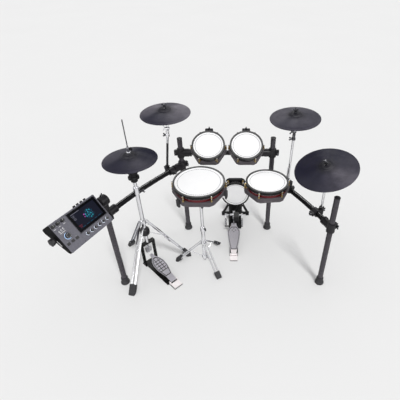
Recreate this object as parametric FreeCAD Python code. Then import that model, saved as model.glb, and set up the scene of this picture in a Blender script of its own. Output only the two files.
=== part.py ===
import FreeCAD, Part
import os
from math import sin, cos, tan, atan2, radians, degrees, pi, sqrt, hypot

V = FreeCAD.Vector

# ---------------------------------------------------------------- driving dimensions (mm)
# Plan positions are given in the set-up plan: x to the drummer's right, y away from the drummer.
# PLAN_X, PLAN_Y is the plan point that becomes the origin (middle of the outer box, on the floor).
PLAN_X, PLAN_Y = -133.267, 1948.056

# rack
TUBE_R, TUBE_WALL = 19.05, 2.0
FL, FR = (-825.0, 1722.0), (634.0, 1722.0)
RL, RR = (-416.0, 2345.0), (287.0, 2345.0)
FRONT_TOP, RL_TOP, RR_TOP = 786.0, 879.0, 884.0
LEFT_RAIL_Z, RIGHT_RAIL_Z = 652.0, 546.0
RAIL_BOW = 25.0
TOM_BAR_Z = 762.0
FOOT_R, FOOT_H = 33.0, 56.0

# drums: outer hoop radius, visible head radius, depth
SNARE = dict(c=(-245.0, 1965.2, 752.8), hoop=178.5, vis=166.0, tilt=3.0)
FLOOR = dict(c=(233.6, 2090.0, 666.6), hoop=156.0, vis=142.0)
TOM = dict(x=(-196.0, 84.0), y=2270.0, z=865.0, hoop=123.0, vis=110.0, tilt=30.0)
KICK = dict(c=(4.0, 2410.0, 319.0), hoop=119.0, vis=108.0)
DRUM_DEPTH = 85.0

# cymbals and the tubes of their arms
ARM_R = 8.5
HAT_D, CRASH_D, RIDE_D = 352.0, 352.0, 412.0
HAT_AXIS = (-673.0, 1930.0)
HAT_Z = 939.0
HAT_ROD_TOP = 1211.0
CRASH_L = (-485.0, 2288.0, 1102.0)
CRASH_R = (415.0, 2244.0, 1084.0)
CRASH_L_N, CRASH_R_N = (-0.010, -0.054, 1.0), (-0.057, -0.062, 1.0)
RIDE = (590.0, 1908.0, 881.0)
RIDE_N = (-0.238, -0.167, 0.957)

# stands
SNARE_AXIS = (-243.0, 1956.0)
SNARE_LEG_ANG, SNARE_LEG_R = (182.0, 62.0, -58.0), (222.0, 214.0, 230.0)
BASKET_ANG = (-133.5, -13.5, 106.5)
HAT_LEG_ANG, HAT_LEG_R = (-103.6, 15.2, 136.7), (325.0, 306.0, 291.0)
HAT_PEDAL_ANG = -45.0

# kick pedal
PED_X = -10.0
PED_HINGE_Y, PED_HINGE_Z = 1988.0, 20.0
PED_SLOPE, PED_LEN = 18.0, 296.0
AXLE_Y, AXLE_Z = 2300.0, 185.0
BEATER_REST, BEATER_STRIKE, BEATER_L = -57.0, 31.0, 165.0
SPROCKET_R = 38.0
SPRING_X = 70.5      # springs and their levers, either side of the pedal's middle

# sound module: panel centre, long-edge yaw, tilt towards the drummer
MOD_C = (-866.0, 1503.0, 775.0)
MOD_YAW, MOD_TILT = 63.5, 51.2
MOD_W, MOD_D = 320.0, 194.0
MOD_T_REAR, MOD_T_FRONT = 100.0, 36.0
PIV_Z = 762.0      # height of the module's tilt pivot on the front left post

SLIP = 0.06        # radial clearance of a turning fit
GAP = 0.15         # clearance of a fixed fit


# ---------------------------------------------------------------- helpers
def P(x, y, z=0.0):
    return V(x - PLAN_X, y - PLAN_Y, z)


def unit(v):
    v = V(v)
    v.normalize()
    return v


def axes(zdir, xdir=None):
    z = unit(zdir)
    if xdir is None:
        xdir = V(1, 0, 0) if abs(z.x) < 0.9 else V(0, 1, 0)
    x = V(xdir) - z * z.dot(V(xdir))
    x.normalize()
    y = z.cross(x)
    return x, y, z


def put(shape, origin, zdir=V(0, 0, 1), xdir=None):
    x, y, z = axes(zdir, xdir)
    m = FreeCAD.Matrix(x.x, y.x, z.x, origin.x, x.y, y.y, z.y, origin.y, x.z, y.z, z.z, origin.z, 0, 0, 0, 1)
    s = shape.copy()
    s.Placement = FreeCAD.Placement(m).multiply(s.Placement)
    return s


def cyl(a, b, r):
    d = b - a
    return Part.makeCylinder(r, d.Length, a, d)


def cone(a, b, r1, r2):
    d = b - a
    return Part.makeCone(r1, r2, d.Length, a, d)


def tube(a, b, ro, ri):
    d = unit(b - a)
    return cyl(a, b, ro).cut(cyl(a - d, b + d, ri))


def rev(pts):
    # closed (r, z) outline turned about local z
    w = Part.makePolygon([V(r, 0, z) for r, z in pts] + [V(pts[0][0], 0, pts[0][1])])
    return Part.Face(w).revolve(V(0, 0, 0), V(0, 0, 1), 360)


def ext(pts, h):
    w = Part.makePolygon([V(x, y, 0) for x, y in pts] + [V(pts[0][0], pts[0][1], 0)])
    return Part.Face(w).extrude(V(0, 0, h))


def block(lx, ly, lz, cx=0.0, cy=0.0, z0=0.0):
    return Part.makeBox(lx, ly, lz, V(cx - lx / 2.0, cy - ly / 2.0, z0))


def rblock(lx, ly, lz, r, z0=0.0):
    # block with rounded vertical edges
    b = block(lx, ly, lz, 0, 0, z0)
    es = [e for e in b.Edges if abs(e.tangentAt(e.FirstParameter).z) > 0.9]
    return b.makeFillet(r, es)


def fuse(*shapes):
    s = shapes[0]
    for t in shapes[1:]:
        s = s.fuse(t)
    return s.removeSplitter()


def pol(c, ang, r, z):
    return P(c[0] + r * cos(radians(ang)), c[1] + r * sin(radians(ang)), z)


def dirxy(ang):
    return V(cos(radians(ang)), sin(radians(ang)), 0)


NODES = {}


def add(name, *shapes):
    NODES.setdefault(name, []).extend(shapes)


def wing_bolt(at, d, shank, r=4.0, span=34.0):
    # shank starts at 'at' and runs along d; the wings stand outside, behind 'at'
    d = unit(d)
    s = cyl(at, at + d * shank, r)
    hub = cyl(at - d * 12, at, 7.5)
    w = ext([(-span / 2, 4), (-span / 2 + 3, 11), (-span / 2 + 9, 12), (-5, 3), (5, 3), (span / 2 - 9, 12),
             (span / 2 - 3, 11), (span / 2, 4), (6, -4), (-6, -4)], 5.0)
    w.translate(V(0, 0, -2.5))
    x, y, z = axes(d)
    # wings lie in the plane that holds the shank
    w = put(w, at - d * 6, x * -1, y)
    return fuse(s, hub, w)


def knob_bolt(at, d, shank, r=4.0, R=14.0, t=12.0):
    d = unit(d)
    pts = []
    n = 30
    for i in range(n):
        a = 2 * pi * i / n
        rr = R * (1.0 + 0.07 * cos(5 * a))
        pts.append((rr * cos(a), rr * sin(a)))
    k = put(ext(pts, t), at - d * t, d)
    return fuse(cyl(at, at + d * shank, r), k)


# ---------------------------------------------------------------- rack
def post(pt, top):
    return tube(P(pt[0], pt[1], 8.0), P(pt[0], pt[1], top), TUBE_R, TUBE_R - TUBE_WALL)


for pt, top in ((FL, PIV_Z - 22.3), (FR, FRONT_TOP), (RL, RL_TOP), (RR, RR_TOP)):
    add("rack_posts", post(pt, top))

FOOT = [(0, 0), (FOOT_R - 2, 0), (FOOT_R, 3), (FOOT_R - 1, 14), (FOOT_R - 7, 22), (25.5, 26), (25.5, FOOT_H - 3),
        (24, FOOT_H), (TUBE_R + GAP, FOOT_H), (TUBE_R + GAP, 8), (0, 8)]
for pt in (FL, FR, RL, RR):
    add("rack_feet_and_caps", put(rev(FOOT), P(pt[0], pt[1], 0)))
CAP = [(0, -14), (TUBE_R - TUBE_WALL - GAP, -14), (TUBE_R - TUBE_WALL - GAP, 0), (20.2, 0), (20.2, 3.5), (18.5, 5.5), (0, 6.5)]
for pt, top in ((FR, FRONT_TOP), (RL, RL_TOP), (RR, RR_TOP)):
    add("rack_feet_and_caps", put(rev(CAP), P(pt[0], pt[1], top)))


class Rail:
    """level tube bent to a shallow arc through two posts, bowed to the outside"""

    def __init__(self, a, b, z, side):
        self.a, self.b, self.z = a, b, z
        c = hypot(b[0] - a[0], b[1] - a[1])
        self.R = (c * c / 4 + RAIL_BOW * RAIL_BOW) / (2 * RAIL_BOW)
        t = ((b[0] - a[0]) / c, (b[1] - a[1]) / c)
        n = (t[1] * side, -t[0] * side)
        m = ((a[0] + b[0]) / 2, (a[1] + b[1]) / 2)
        k = self.R - RAIL_BOW
        self.c = (m[0] - n[0] * k, m[1] - n[1] * k)
        self.a0 = atan2(a[1] - self.c[1], a[0] - self.c[0])
        self.a1 = atan2(b[1] - self.c[1], b[0] - self.c[0])
        d = self.a1 - self.a0
        while d > pi:
            d -= 2 * pi
        while d < -pi:
            d += 2 * pi
        self.da = d
        self.L = abs(d) * self.R

    def at(self, s):
        # point, tangent and outward direction at arc length s from the first post
        a = self.a0 + self.da * s / self.L
        o = V(cos(a), sin(a), 0)
        p = P(self.c[0] + self.R * o.x, self.c[1] + self.R * o.y, self.z)
        t = V(-o.y, o.x, 0)
        if self.da < 0:
            t = t * -1
        return p, t, o

    def s_at_y(self, y):
        lo, hi = 0.0, self.L
        up = self.b[1] > self.a[1]
        for _ in range(60):
            m = (lo + hi) / 2
            yy = self.at(m)[0].y + PLAN_Y
            if (yy < y) == up:
                lo = m
            else:
                hi = m
        return lo

    def solid(self, trim):
        p, t, o = self.at(trim)
        c = P(self.c[0], self.c[1], self.z)
        ang = degrees(self.da * (self.L - 2 * trim) / self.L)
        zdir = V(0, 0, 1) if ang > 0 else V(0, 0, -1)
        outer = Part.Face(Part.Wire(Part.makeCircle(TUBE_R, p, t))).revolve(c, zdir, abs(ang))
        inner = Part.Face(Part.Wire(Part.makeCircle(TUBE_R - TUBE_WALL, p, t))).revolve(c, zdir, abs(ang))
        s = outer.cut(inner)
        s = s.Solids[0]
        if s.Volume < 0:
            s.reverse()
        return s


LRAIL = Rail(FL, RL, LEFT_RAIL_Z, -1)
RRAIL = Rail(FR, RR, RIGHT_RAIL_Z, 1)
RAIL_TRIM = 27.0
add("rack_rails", LRAIL.solid(RAIL_TRIM), RRAIL.solid(RAIL_TRIM))


def t_clamp(pt, z, d, ear, bore_r, h=74.0):
    """cast tee clamp: sleeve on the post, socket for a tube in direction d, two ears with a bolt"""
    d = unit(d)
    ear = unit(ear)
    c = P(pt[0], pt[1], z)
    up = V(0, 0, 1)
    sleeve = put(rev([(0, -h / 2), (26, -h / 2), (28.5, -h / 2 + 4), (28.5, h / 2 - 4), (26, h / 2), (0, h / 2)]), c)
    sock = fuse(cyl(c, c + d * 84, 27.0), cyl(c + d * 68, c + d * 84, 29.5))
    web = put(block(64, 22, h - 16, 32, 0, -(h - 16) / 2.0), c, up, d)
    ears = put(block(30, 24, 40, 35, 0, -20), c, up, ear)
    ears = ears.makeFillet(3, [e for e in ears.Edges if abs(e.tangentAt(e.FirstParameter).z) > 0.9])
    s = fuse(sleeve, sock, web, ears)
    s = s.cut(cyl(c - up * h, c + up * h, TUBE_R + GAP))
    s = s.cut(cyl(c + d * 24, c + d * 120, bore_r))
    s = s.cut(put(block(60, 4, 60, 46, 0, -30), c, up, ear))
    side = up.cross(ear)
    b0 = c + ear * 39
    s = s.cut(cyl(b0 - side * 30, b0 + side * 30, 4.2))
    # recesses that lighten the casting
    for sz in (1, -1):
        s = s.cut(put(block(22, 40, 7, 44, 0, 0), c + up * (sz * 15 - 3.5), up, d).cut(
            put(block(30, 18, 20, 44, 0, -6), c + up * (sz * 15 - 3.5), up, d)).cut(cyl(c, c + d * 100, 25.5)))
    add("rack_clamps", s)
    add("wing_bolts", wing_bolt(b0 - side * 12, side, 26))
    return s


def rail_ends(rail):
    p0, t0, _ = rail.at(RAIL_TRIM + 20)
    p1, t1, _ = rail.at(rail.L - RAIL_TRIM - 20)
    return t0, t1 * -1


tl0, tl1 = rail_ends(LRAIL)
tr0, tr1 = rail_ends(RRAIL)
t_clamp(FL, LEFT_RAIL_Z, tl0, tl0.cross(V(0, 0, 1)) * 1.0, TUBE_R + 0.9)
t_clamp(RL, LEFT_RAIL_Z, tl1, V(0.75, 0.65, 0), TUBE_R + 0.9)
t_clamp(FR, RIGHT_RAIL_Z, tr0, V(0.85, 0.5, 0), TUBE_R + 0.9)
t_clamp(RR, RIGHT_RAIL_Z, tr1, V(-0.75, 0.65, 0), TUBE_R + 0.9)
t_clamp(RL, TOM_BAR_Z, V(1, 0, 0), V(-1, 0, 0), TUBE_R + SLIP)
t_clamp(RR, TOM_BAR_Z, V(-1, 0, 0), V(1, 0, 0), TUBE_R + SLIP)


def rail_clamp(rail, s, arm_dir, arm_r, out=44.0, lift=0.0, side=1):
    """clamp round a rail with a socket for a rod beside it; returns the socket middle"""
    p, t, o = rail.at(s)
    o = o * side
    ring = cyl(p - t * 23, p + t * 23, 28.0)
    q = p + o * out + V(0, 0, lift)
    a = unit(arm_dir)
    sock = cyl(q - a * 30, q + a * 30, arm_r + 9.0)
    web = put(block(out, 30, 34, out / 2.0, 0, -17), p, V(0, 0, 1), o)
    jaw = put(block(34, 40, 22, 0, 0, -11), p - o * 26, V(0, 0, 1), o)
    s_ = fuse(ring, sock, web, jaw)
    s_ = s_.cut(cyl(p - t * 60, p + t * 60, TUBE_R + 0.35))
    s_ = s_.cut(cyl(q - a * 60, q + a * 60, arm_r + GAP))
    b1 = q + o * (arm_r + 9.0) + V(0, 0, 0)
    bb = o - a * o.dot(a)
    bb.normalize()
    b1 = q + bb * (arm_r + 9.0)
    s_ = s_.cut(cyl(q, b1 + bb * 30, 3.7))
    add("rack_clamps", s_)
    add("wing_bolts", wing_bolt(b1 + bb * 0.6, bb * -1, 8.0, 3.5, 30))
    j = p - o * 43
    add("wing_bolts", knob_bolt(j - o * 0.2, o, 0.1 + 0.05, 4.0, 11.0, 9.0))
    return q


# ---------------------------------------------------------------- drums
TRAY_H = 40.0


def tray_poly(rs, n, phase, grow=0.0):
    pts = []
    for i in range(n):
        for da in (-5.0, 5.0):
            a = radians(phase + 360.0 * i / n + da)
            pts.append(((rs + 20 + grow) * cos(a), (rs + 20 + grow) * sin(a)))
    return pts


def drum_local(hoop, vis, depth, n, phase):
    rs = hoop - 9.0
    up = V(0, 0, 1)
    o = V(0, 0, 0)
    hr = min(vis + 5, rs)
    head = rev([(0, -1.5), (hr, -1.5), (hr, 0), (0, 0)])
    hp = rev([(vis, 0.05), (vis, 5), (vis + 1.2, 7.3), (vis + 3.5, 8.5), (hoop - 4, 8.5), (hoop - 1.3, 7), (hoop, 4),
              (hoop, -8), (hoop - 2, -8), (hoop - 2, -11), (hoop, -11), (hoop, -16), (hoop - 1.5, -18), (rs + 0.6, -18), (rs + 0.6, 0.05)])
    zt = -depth + TRAY_H
    shell = rev([(rs - 6, zt + 0.05), (rs, zt + 0.05), (rs, -1.55), (rs - 6, -1.55)])
    tray = put(ext(tray_poly(rs, n, phase), TRAY_H), V(0, 0, -depth))
    tray = tray.makeChamfer(5.0, [e for e in tray.Edges if abs(e.CenterOfMass.z + depth) < 0.01])
    tray = tray.cut(Part.makeCylinder(rs - 8, TRAY_H, V(0, 0, -depth + 4)))
    lugs = []
    for i in range(n):
        a = phase + 360.0 * i / n
        d = V(cos(radians(a)), sin(radians(a)), 0)
        claw = put(block(9.5, 14, 13, hoop + 0.25 + 4.75, 0, -17), o, up, d)
        hook = put(block(3.6, 12, 2.4, hoop + 0.1, 0, -10.7), o, up, d)
        k = d * (hoop + 6.5)
        post = cyl(k + V(0, 0, zt + 0.05), k + V(0, 0, -16), 5.2)
        collar = cyl(k + V(0, 0, zt + 0.05), k + V(0, 0, zt + 6), 7.0)
        nut = cyl(k + V(0, 0, -5), k + V(0, 0, 2), 4.4)
        fin = put(ext([(rs + 0.5, -zt - 0.05), (hoop + 3, -zt - 0.05), (hoop + 3, 20), (hoop - 0.5, 20), (rs + 0.5, -zt - 12)], 5.0), o, up.cross(d) * -1, d)
        if fin.BoundBox.ZMax > 0:
            fin = put(ext([(rs + 0.5, zt + 0.05), (hoop + 3, zt + 0.05), (hoop + 3, -20), (hoop - 0.5, -20), (rs + 0.5, zt + 12)], 5.0), o, d.cross(up), d)
        fin.translate(V(0, 0, 0) - (fin.CenterOfMass - d * fin.CenterOfMass.dot(d) - up * fin.CenterOfMass.dot(up)))
        lugs.append(fuse(claw, hook, post, collar, nut, fin))
    # trigger inside: cross bar with sensor plate and foam cone up to the head
    bar = block(2 * (rs - 8.4), 26, 3.0, 0, 0, -depth + 22).common(Part.makeCylinder(rs - 8.4, 10, V(0, 0, -depth + 18)))
    legs_ = [block(14, 24, 17.95, sx * (rs - 26), 0, -depth + 4.05) for sx in (-1, 1)]
    plate = Part.makeCylinder(24, 2.5, V(0, 0, -depth + 25))
    foam = Part.makeCone(20, 9, depth - 27.5 - 1.8, V(0, 0, -depth + 27.5))
    return dict(head=[head], hoop=[hp], shell=[shell, tray], lugs=lugs, sensor=[fuse(bar, *legs_), plate, foam])


def place_all(d, o, z, x):
    return {k: [put(s, o, z, x) for s in v] for k, v in d.items()}


# snare: pad on its own stand, tipped towards the drummer about the tilter of the stand
SNARE_PIV = P(SNARE_AXIS[0], SNARE_AXIS[1], 578.0)


def tip(s):
    t = s.copy()
    t.rotate(SNARE_PIV, V(1, 0, 0), SNARE["tilt"])
    return t


sn = place_all(drum_local(SNARE["hoop"], SNARE["vis"], DRUM_DEPTH, 6, 0.0), P(*SNARE["c"]), V(0, 0, 1), V(1, 0, 0))
sn = {k: [tip(s) for s in v] for k, v in sn.items()}
add("snare_head", *sn["head"])
add("snare_hoop", *sn["hoop"])
add("snare_shell", *sn["shell"])
add("drum_lugs", *sn["lugs"])
add("trigger_sensors", *sn["sensor"])

# kick: upright pad facing the drummer
kk = place_all(drum_local(KICK["hoop"], KICK["vis"], DRUM_DEPTH, 6, 0.0), P(*KICK["c"]), V(0, -1, 0), V(1, 0, 0))
add("kick_head", *kk["head"])
add("kick_hoop", *kk["hoop"])
add("kick_shell", *kk["shell"])
add("drum_lugs", *kk["lugs"])
add("trigger_sensors", *kk["sensor"])

# rack toms on the cross bar
ta = radians(TOM["tilt"])
TN = V(0, -sin(ta), cos(ta))
TX = V(1, 0, 0)
TT = TN.cross(TX)          # in the head plane, away from the drummer
for tx in TOM["x"]:
    o = P(tx, TOM["y"], TOM["z"])
    tm = place_all(drum_local(TOM["hoop"], TOM["vis"], DRUM_DEPTH, 6, 0.0), o, TN, TX)
    add("tom_heads", *tm["head"])
    add("tom_hoops", *tm["hoop"])
    add("tom_shells", *tm["shell"])
    add("tom_lugs", *tm["lugs"])
    add("tom_hardware", *tm["sensor"])
    # bracket on the back of the shell, rod down to the bar clamp
    rs = TOM["hoop"] - 9.0
    bar = P(tx, RL[1], TOM_BAR_Z)
    rel = bar - o
    bs, bt = -rel.dot(TN), rel.dot(TT)
    rod_t = TOM["hoop"] + 17.0
    br = block(60, 46, 25, 0, rs + 0.25 + 23, -43.5)
    br = br.makeFillet(6, [e for e in br.Edges if abs(e.tangentAt(e.FirstParameter).z) > 0.9 and e.CenterOfMass.y > rs + 30])
    br = br.cut(Part.makeCylinder(rs + 0.25, 200, V(0, 0, -150)))
    br = br.cut(Part.makeCylinder(5.0 + GAP, 200, V(0, rod_t, -150)))
    br = br.cut(Part.makeCylinder(4.1, 60, V(0, rod_t, -31), V(0, 1, 0)))
    add("tom_hardware", put(br, o, TN, TX))
    kb = o + TT * (rs + 46.4) + TN * -31
    add("tom_hardware", wing_bolt(kb + TT * 0.2, TT * -1, 10.0, 3.8, 28))
    a0 = o + TT * rod_t + TN * 12
    a1 = o + TT * rod_t + TN * -bs
    a2 = bar + TT * 34.0
    add("tom_hardware", fuse(cyl(a0, a1, 5.0), Part.makeSphere(5.0, a1), cyl(a1, a2, 5.0)))
    rg = fuse(cyl(bar - TX * 24, bar + TX * 24, 29.0), cyl(bar, bar + TT * 70, 13.0), cyl(bar, bar - TT * 36, 11.0))
    rg = rg.cut(cyl(bar - TX * 60, bar + TX * 60, TUBE_R + GAP))
    rg = rg.cut(cyl(bar + TT * 33.8, bar + TT * 120, 5.0 + GAP))
    add("tom_hardware", rg)
    add("tom_hardware", knob_bolt(bar - TT * 36.2, TT, 0.15, 4.0, 12.0, 10.0))
add("tom_bar", tube(P(RL[0] + 27, RL[1], TOM_BAR_Z), P(RR[0] - 27, RR[1], TOM_BAR_Z), TUBE_R, TUBE_R - TUBE_WALL))

# floor tom on the right rail
fc = FLOOR["c"]
FT_Y = 2168.0
fs = RRAIL.s_at_y(FT_Y)
fp, ft, fo = RRAIL.at(fs)
FO = P(*fc)
fd = V(fp.x - FO.x, fp.y - FO.y, 0)
FT_DIST = fd.Length
fd = unit(fd)
fang = degrees(atan2(fd.y, fd.x))
fm = place_all(drum_local(FLOOR["hoop"], FLOOR["vis"], DRUM_DEPTH, 6, 6.0), FO, V(0, 0, 1), V(1, 0, 0))
add("floor_tom_head", *fm["head"])
add("floor_tom_hoop", *fm["hoop"])
add("floor_tom_shell", *fm["shell"])
add("floor_tom_lugs", *fm["lugs"])
add("floor_tom_mount", *fm["sensor"])
FT_ROD_R = FLOOR["hoop"] + 12.0
FT_AXIS_Z = 606.0
rs = FLOOR["hoop"] - 9.0
br = block(FT_ROD_R + 12 - rs - 0.25, 48, 25, (FT_ROD_R + 12 + rs + 0.25) / 2.0, 0, -43.5)
br = br.makeFillet(6, [e for e in br.Edges if abs(e.tangentAt(e.FirstParameter).z) > 0.9 and e.CenterOfMass.x > rs + 20])
br = br.cut(Part.makeCylinder(rs + 0.25, 200, V(0, 0, -150)))
br = br.cut(Part.makeCylinder(5.0 + GAP, 200, V(FT_ROD_R, 0, -150)))
br = br.cut(Part.makeCylinder(3.9, 60, V(FT_ROD_R, 0, -31), V(0, 1, 0)))
add("floor_tom_mount", put(br, FO, V(0, 0, 1), fd))
kb = FO + fd * FT_ROD_R + V(0, 0, -31) + V(-fd.y, fd.x, 0) * 24.2
add("floor_tom_mount", wing_bolt(kb, V(fd.y, -fd.x, 0), 10, 3.6, 28))
f0 = FO + fd * FT_ROD_R
f0 = V(f0.x, f0.y, 738.0)
f1 = V(f0.x, f0.y, FT_AXIS_Z)
f2 = V(FO.x, FO.y, FT_AXIS_Z) + fd * (FT_DIST + 34)
add("floor_tom_mount", fuse(cyl(f0, f1, 5.0), Part.makeSphere(5.0, f1), cyl(f1, f2, 5.0)))
# its clamp on the rail: ring with a turret that holds the level leg of the rod
turret0 = V(fp.x, fp.y, RIGHT_RAIL_Z)
ring = cyl(fp - ft * 23, fp + ft * 23, 28.0)
tur = put(rblock(36, 34, FT_AXIS_Z + 9.5 - RIGHT_RAIL_Z, 5), turret0 + fd * 2.5, V(0, 0, 1), fd)
jaw = put(block(34, 36, 22, 0, 0, -11), fp + fo * 26, V(0, 0, 1), fo)
rc = fuse(ring, tur, jaw).cut(cyl(fp - ft * 60, fp + ft * 60, TUBE_R + 0.35))
axm = V(FO.x, FO.y, FT_AXIS_Z)
rc = rc.cut(cyl(axm + fd * (FT_DIST - 60), axm + fd * (FT_DIST + 60), 5.0 + SLIP))
rc = rc.cut(cyl(axm + fd * FT_DIST, axm + fd * FT_DIST + V(0, 0, 40), 3.7))
add("rack_clamps", rc)
add("wing_bolts", wing_bolt(axm + fd * FT_DIST + V(0, 0, 10.1), V(0, 0, -1), 3.9, 3.5, 34))
add("wing_bolts", knob_bolt(fp + fo * 43.2, fo * -1, 0.15, 4.0, 11.0, 9.0))


# ---------------------------------------------------------------- cymbals, tilters and arms
def cym_profile(D):
    R = D / 2.0
    top = [(10, 44), (26, 43.2), (34, 41), (40, 36), (44.5, 30.5), (50, 27.6), (62, 26), (90, 22), (120, 16.6), (150, 10.2),
           (R - 8, 4.4), (R - 2.2, 2.6), (R, 0.4)]
    bot = [(R, -1.8), (R - 1.6, -2.6), (R - 10, -2.2), (150, 4.0), (120, 10.4), (90, 15.6), (62, 19.4), (48, 21.2), (40, 26.0),
           (35, 32.0), (28, 35.5), (10, 36)]
    return top + bot


def cymbal(D, c, n, xdir):
    return put(rev(cym_profile(D)), c, n, xdir)


HUB_LO, HUB_HI = 36.0, 44.0
FELT_GAP = 2.8


def swing_axis(n):
    n = unit(n)
    return unit(V(1, 0, 0) - n * n.x)


def tilter(c, n, ax, L, node):
    """c: edge-circle centre, n: cymbal normal, ax: hinge axis of the tilter, L: length from joint to hub"""
    n = unit(n)
    ax = unit(ax)
    hub = c + n * (HUB_LO)
    j = hub - n * L
    disc = cyl(j + ax * 0.4, j + ax * 9.4, 11.5)
    neck = fuse(cyl(j + n * 13, j + n * 26, 7.0), put(block(14, 9, 13, 0, 0, 4), j + ax * 4.9, n, n.cross(ax)))
    sleeve = cyl(j + n * 26, hub - n * (FELT_GAP + 11), 6.0)
    seat = cyl(hub - n * (FELT_GAP + 11), hub - n * (FELT_GAP + 8), 13.0)
    stem = cyl(hub - n * (FELT_GAP + 12), hub + n * 42, 4.0)
    # cross rocker inside the hub hole, on which the cymbal swings
    mh = hub + n * ((HUB_HI - HUB_LO) / 2)
    sw_ = swing_axis(n)
    rock = cyl(mh - sw_ * 6.5, mh + sw_ * 6.5, 5.4)
    body = fuse(disc, neck, sleeve, seat, stem, rock).cut(cyl(j - ax * 20, j + ax * 20, 3.5 + SLIP))
    felt0 = tube(hub - n * (FELT_GAP + 8), hub - n * FELT_GAP, 11.0, 4.0 + GAP)
    felt1 = tube(hub + n * (8 + FELT_GAP), hub + n * (8 + FELT_GAP + 9), 11.0, 4.0 + GAP)
    nut0 = hub + n * (8 + FELT_GAP + 9)
    wn = fuse(cyl(nut0, nut0 + n * 11, 7.0), put(ext([(-19, 7), (-17, 13), (-11, 14), (-4, 6), (4, 6), (11, 14), (17, 13), (19, 7),
                                                      (6, 1), (-6, 1)], 5.0), nut0 - ax.cross(n) * 2.5, ax.cross(n), ax))
    wn = wn.cut(cyl(nut0 - n * 2, nut0 + n * 40, 4.0 + GAP))
    add(node, body, felt0, felt1, wn)
    return j


def arm_top(j, ax, down, sleeve_len=62.0):
    """fixed knuckle of the tilter with its pin and wing nut, on top of an arm that runs along -down"""
    ax = unit(ax)
    d = unit(down)
    disc = cyl(j - ax * 9.4, j - ax * 0.4, 11.5)
    link = put(block(15, 9, 16, 0, 0, 5), j - ax * 4.9, d, d.cross(ax))
    sleeve = cyl(j + d * 15, j + d * sleeve_len, ARM_R + 3.0)
    collar = cyl(j + d * (sleeve_len - 16), j + d * sleeve_len, ARM_R + 6.5)
    pin = cyl(j - ax * 20, j + ax * 13, 3.5)
    head = cyl(j + ax * 10.0, j + ax * 14, 7.0)
    hub = cyl(j - ax * 21.5, j - ax * 9.4, 7.5)
    s = fuse(disc, link, sleeve, collar, pin, head, hub)
    s = s.cut(cyl(j + d * 20, j + d * (sleeve_len + 10), ARM_R + GAP))
    w = put(ext([(-19, 6), (-17, 13), (-11, 14), (-4, 4), (4, 4), (11, 14), (17, 13), (19, 6), (5, 0), (-5, 0)], 5.0),
            j - ax * 20 + d.cross(ax) * 2.5, ax.cross(d), d)
    return fuse(s, w)


def crash(tag, c, rail, yk, ax, tilt_dir, L=118.0):
    n = V(*tilt_dir)
    n.normalize()
    C0 = P(*c)
    add(tag + "_cymbal", cymbal(CRASH_D if tag != "ride" else RIDE_D, C0, n, V(1, 0, 0)))
    j = tilter(C0, n, ax, L, tag + "_tilter")
    return j


def arm(j, ax, rail, s, low, hand=-1, side=1, out=44.0):
    """rod from the rail clamp up to the tilter; the rod's line is fixed by the joint and the clamp socket"""
    p, t, o = rail.at(s)
    q = p + o * out * side
    d = unit(q - j)
    sl = arm_top(j, ax, d)
    rod = cyl(j + d * 21, q + d * low, ARM_R)
    sc = j + d * 54
    bb = unit(V(ax) - d * d.dot(V(ax))) * hand
    sl = sl.cut(cyl(sc, sc + bb * 30, 3.2))
    add("cymbal_arms", sl, rod)
    add("wing_bolts", wing_bolt(sc + bb * (ARM_R + 6.9), bb * -1, 5.8, 3.0, 30))
    rail_clamp(rail, s, d, ARM_R, out)


AX = V(1, 0, 0)
JL = crash("crash_left", CRASH_L, LRAIL, 0, AX, CRASH_L_N, 150.0)
JR = crash("crash_right", CRASH_R, RRAIL, 0, AX, CRASH_R_N, 140.0)
RN = unit(V(*RIDE_N))
RAX = unit(V(0, 0, 1).cross(RN))
RAX = RAX * (1 if RAX.x > 0 else -1)
JD = crash("ride", RIDE, RRAIL, 0, RAX, RIDE_N, 112.0)
arm(JL, AX, LRAIL, LRAIL.s_at_y(2257.0), 40.0)
arm(JR, AX, RRAIL, RRAIL.s_at_y(2224.0), 44.0)
arm(JD, RAX, RRAIL, RRAIL.s_at_y(1884.0), 44.0)

# ---------------------------------------------------------------- snare stand
sx, sy = SNARE_AXIS


def S(z):
    return P(sx, sy, z)


def leg_pair(c, ang, r0, z0, r1, z1, half, wd, th):
    """two parallel flat straps from the collar to the foot"""
    d = dirxy(ang)
    t = V(-d.y, d.x, 0)
    a = P(c[0], c[1], z0) + d * r0
    b = P(c[0], c[1], z1) + d * r1
    u = unit(b - a)
    return [put(block(wd, th, (b - a).Length), a + t * (half * k), u, t) for k in (-1, 1)], a, b, t


def stand_foot(a, b, t, w, h, ln, legs, over=16.0):
    d = unit(b - a)
    f = put(rblock(w, h, ln + over, 5.0), b - d * over, d, t)
    for l_ in legs:
        f = f.cut(l_)
    f = f.cut(block(4000, 4000, 400, 0, 0, -400))
    return f


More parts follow.
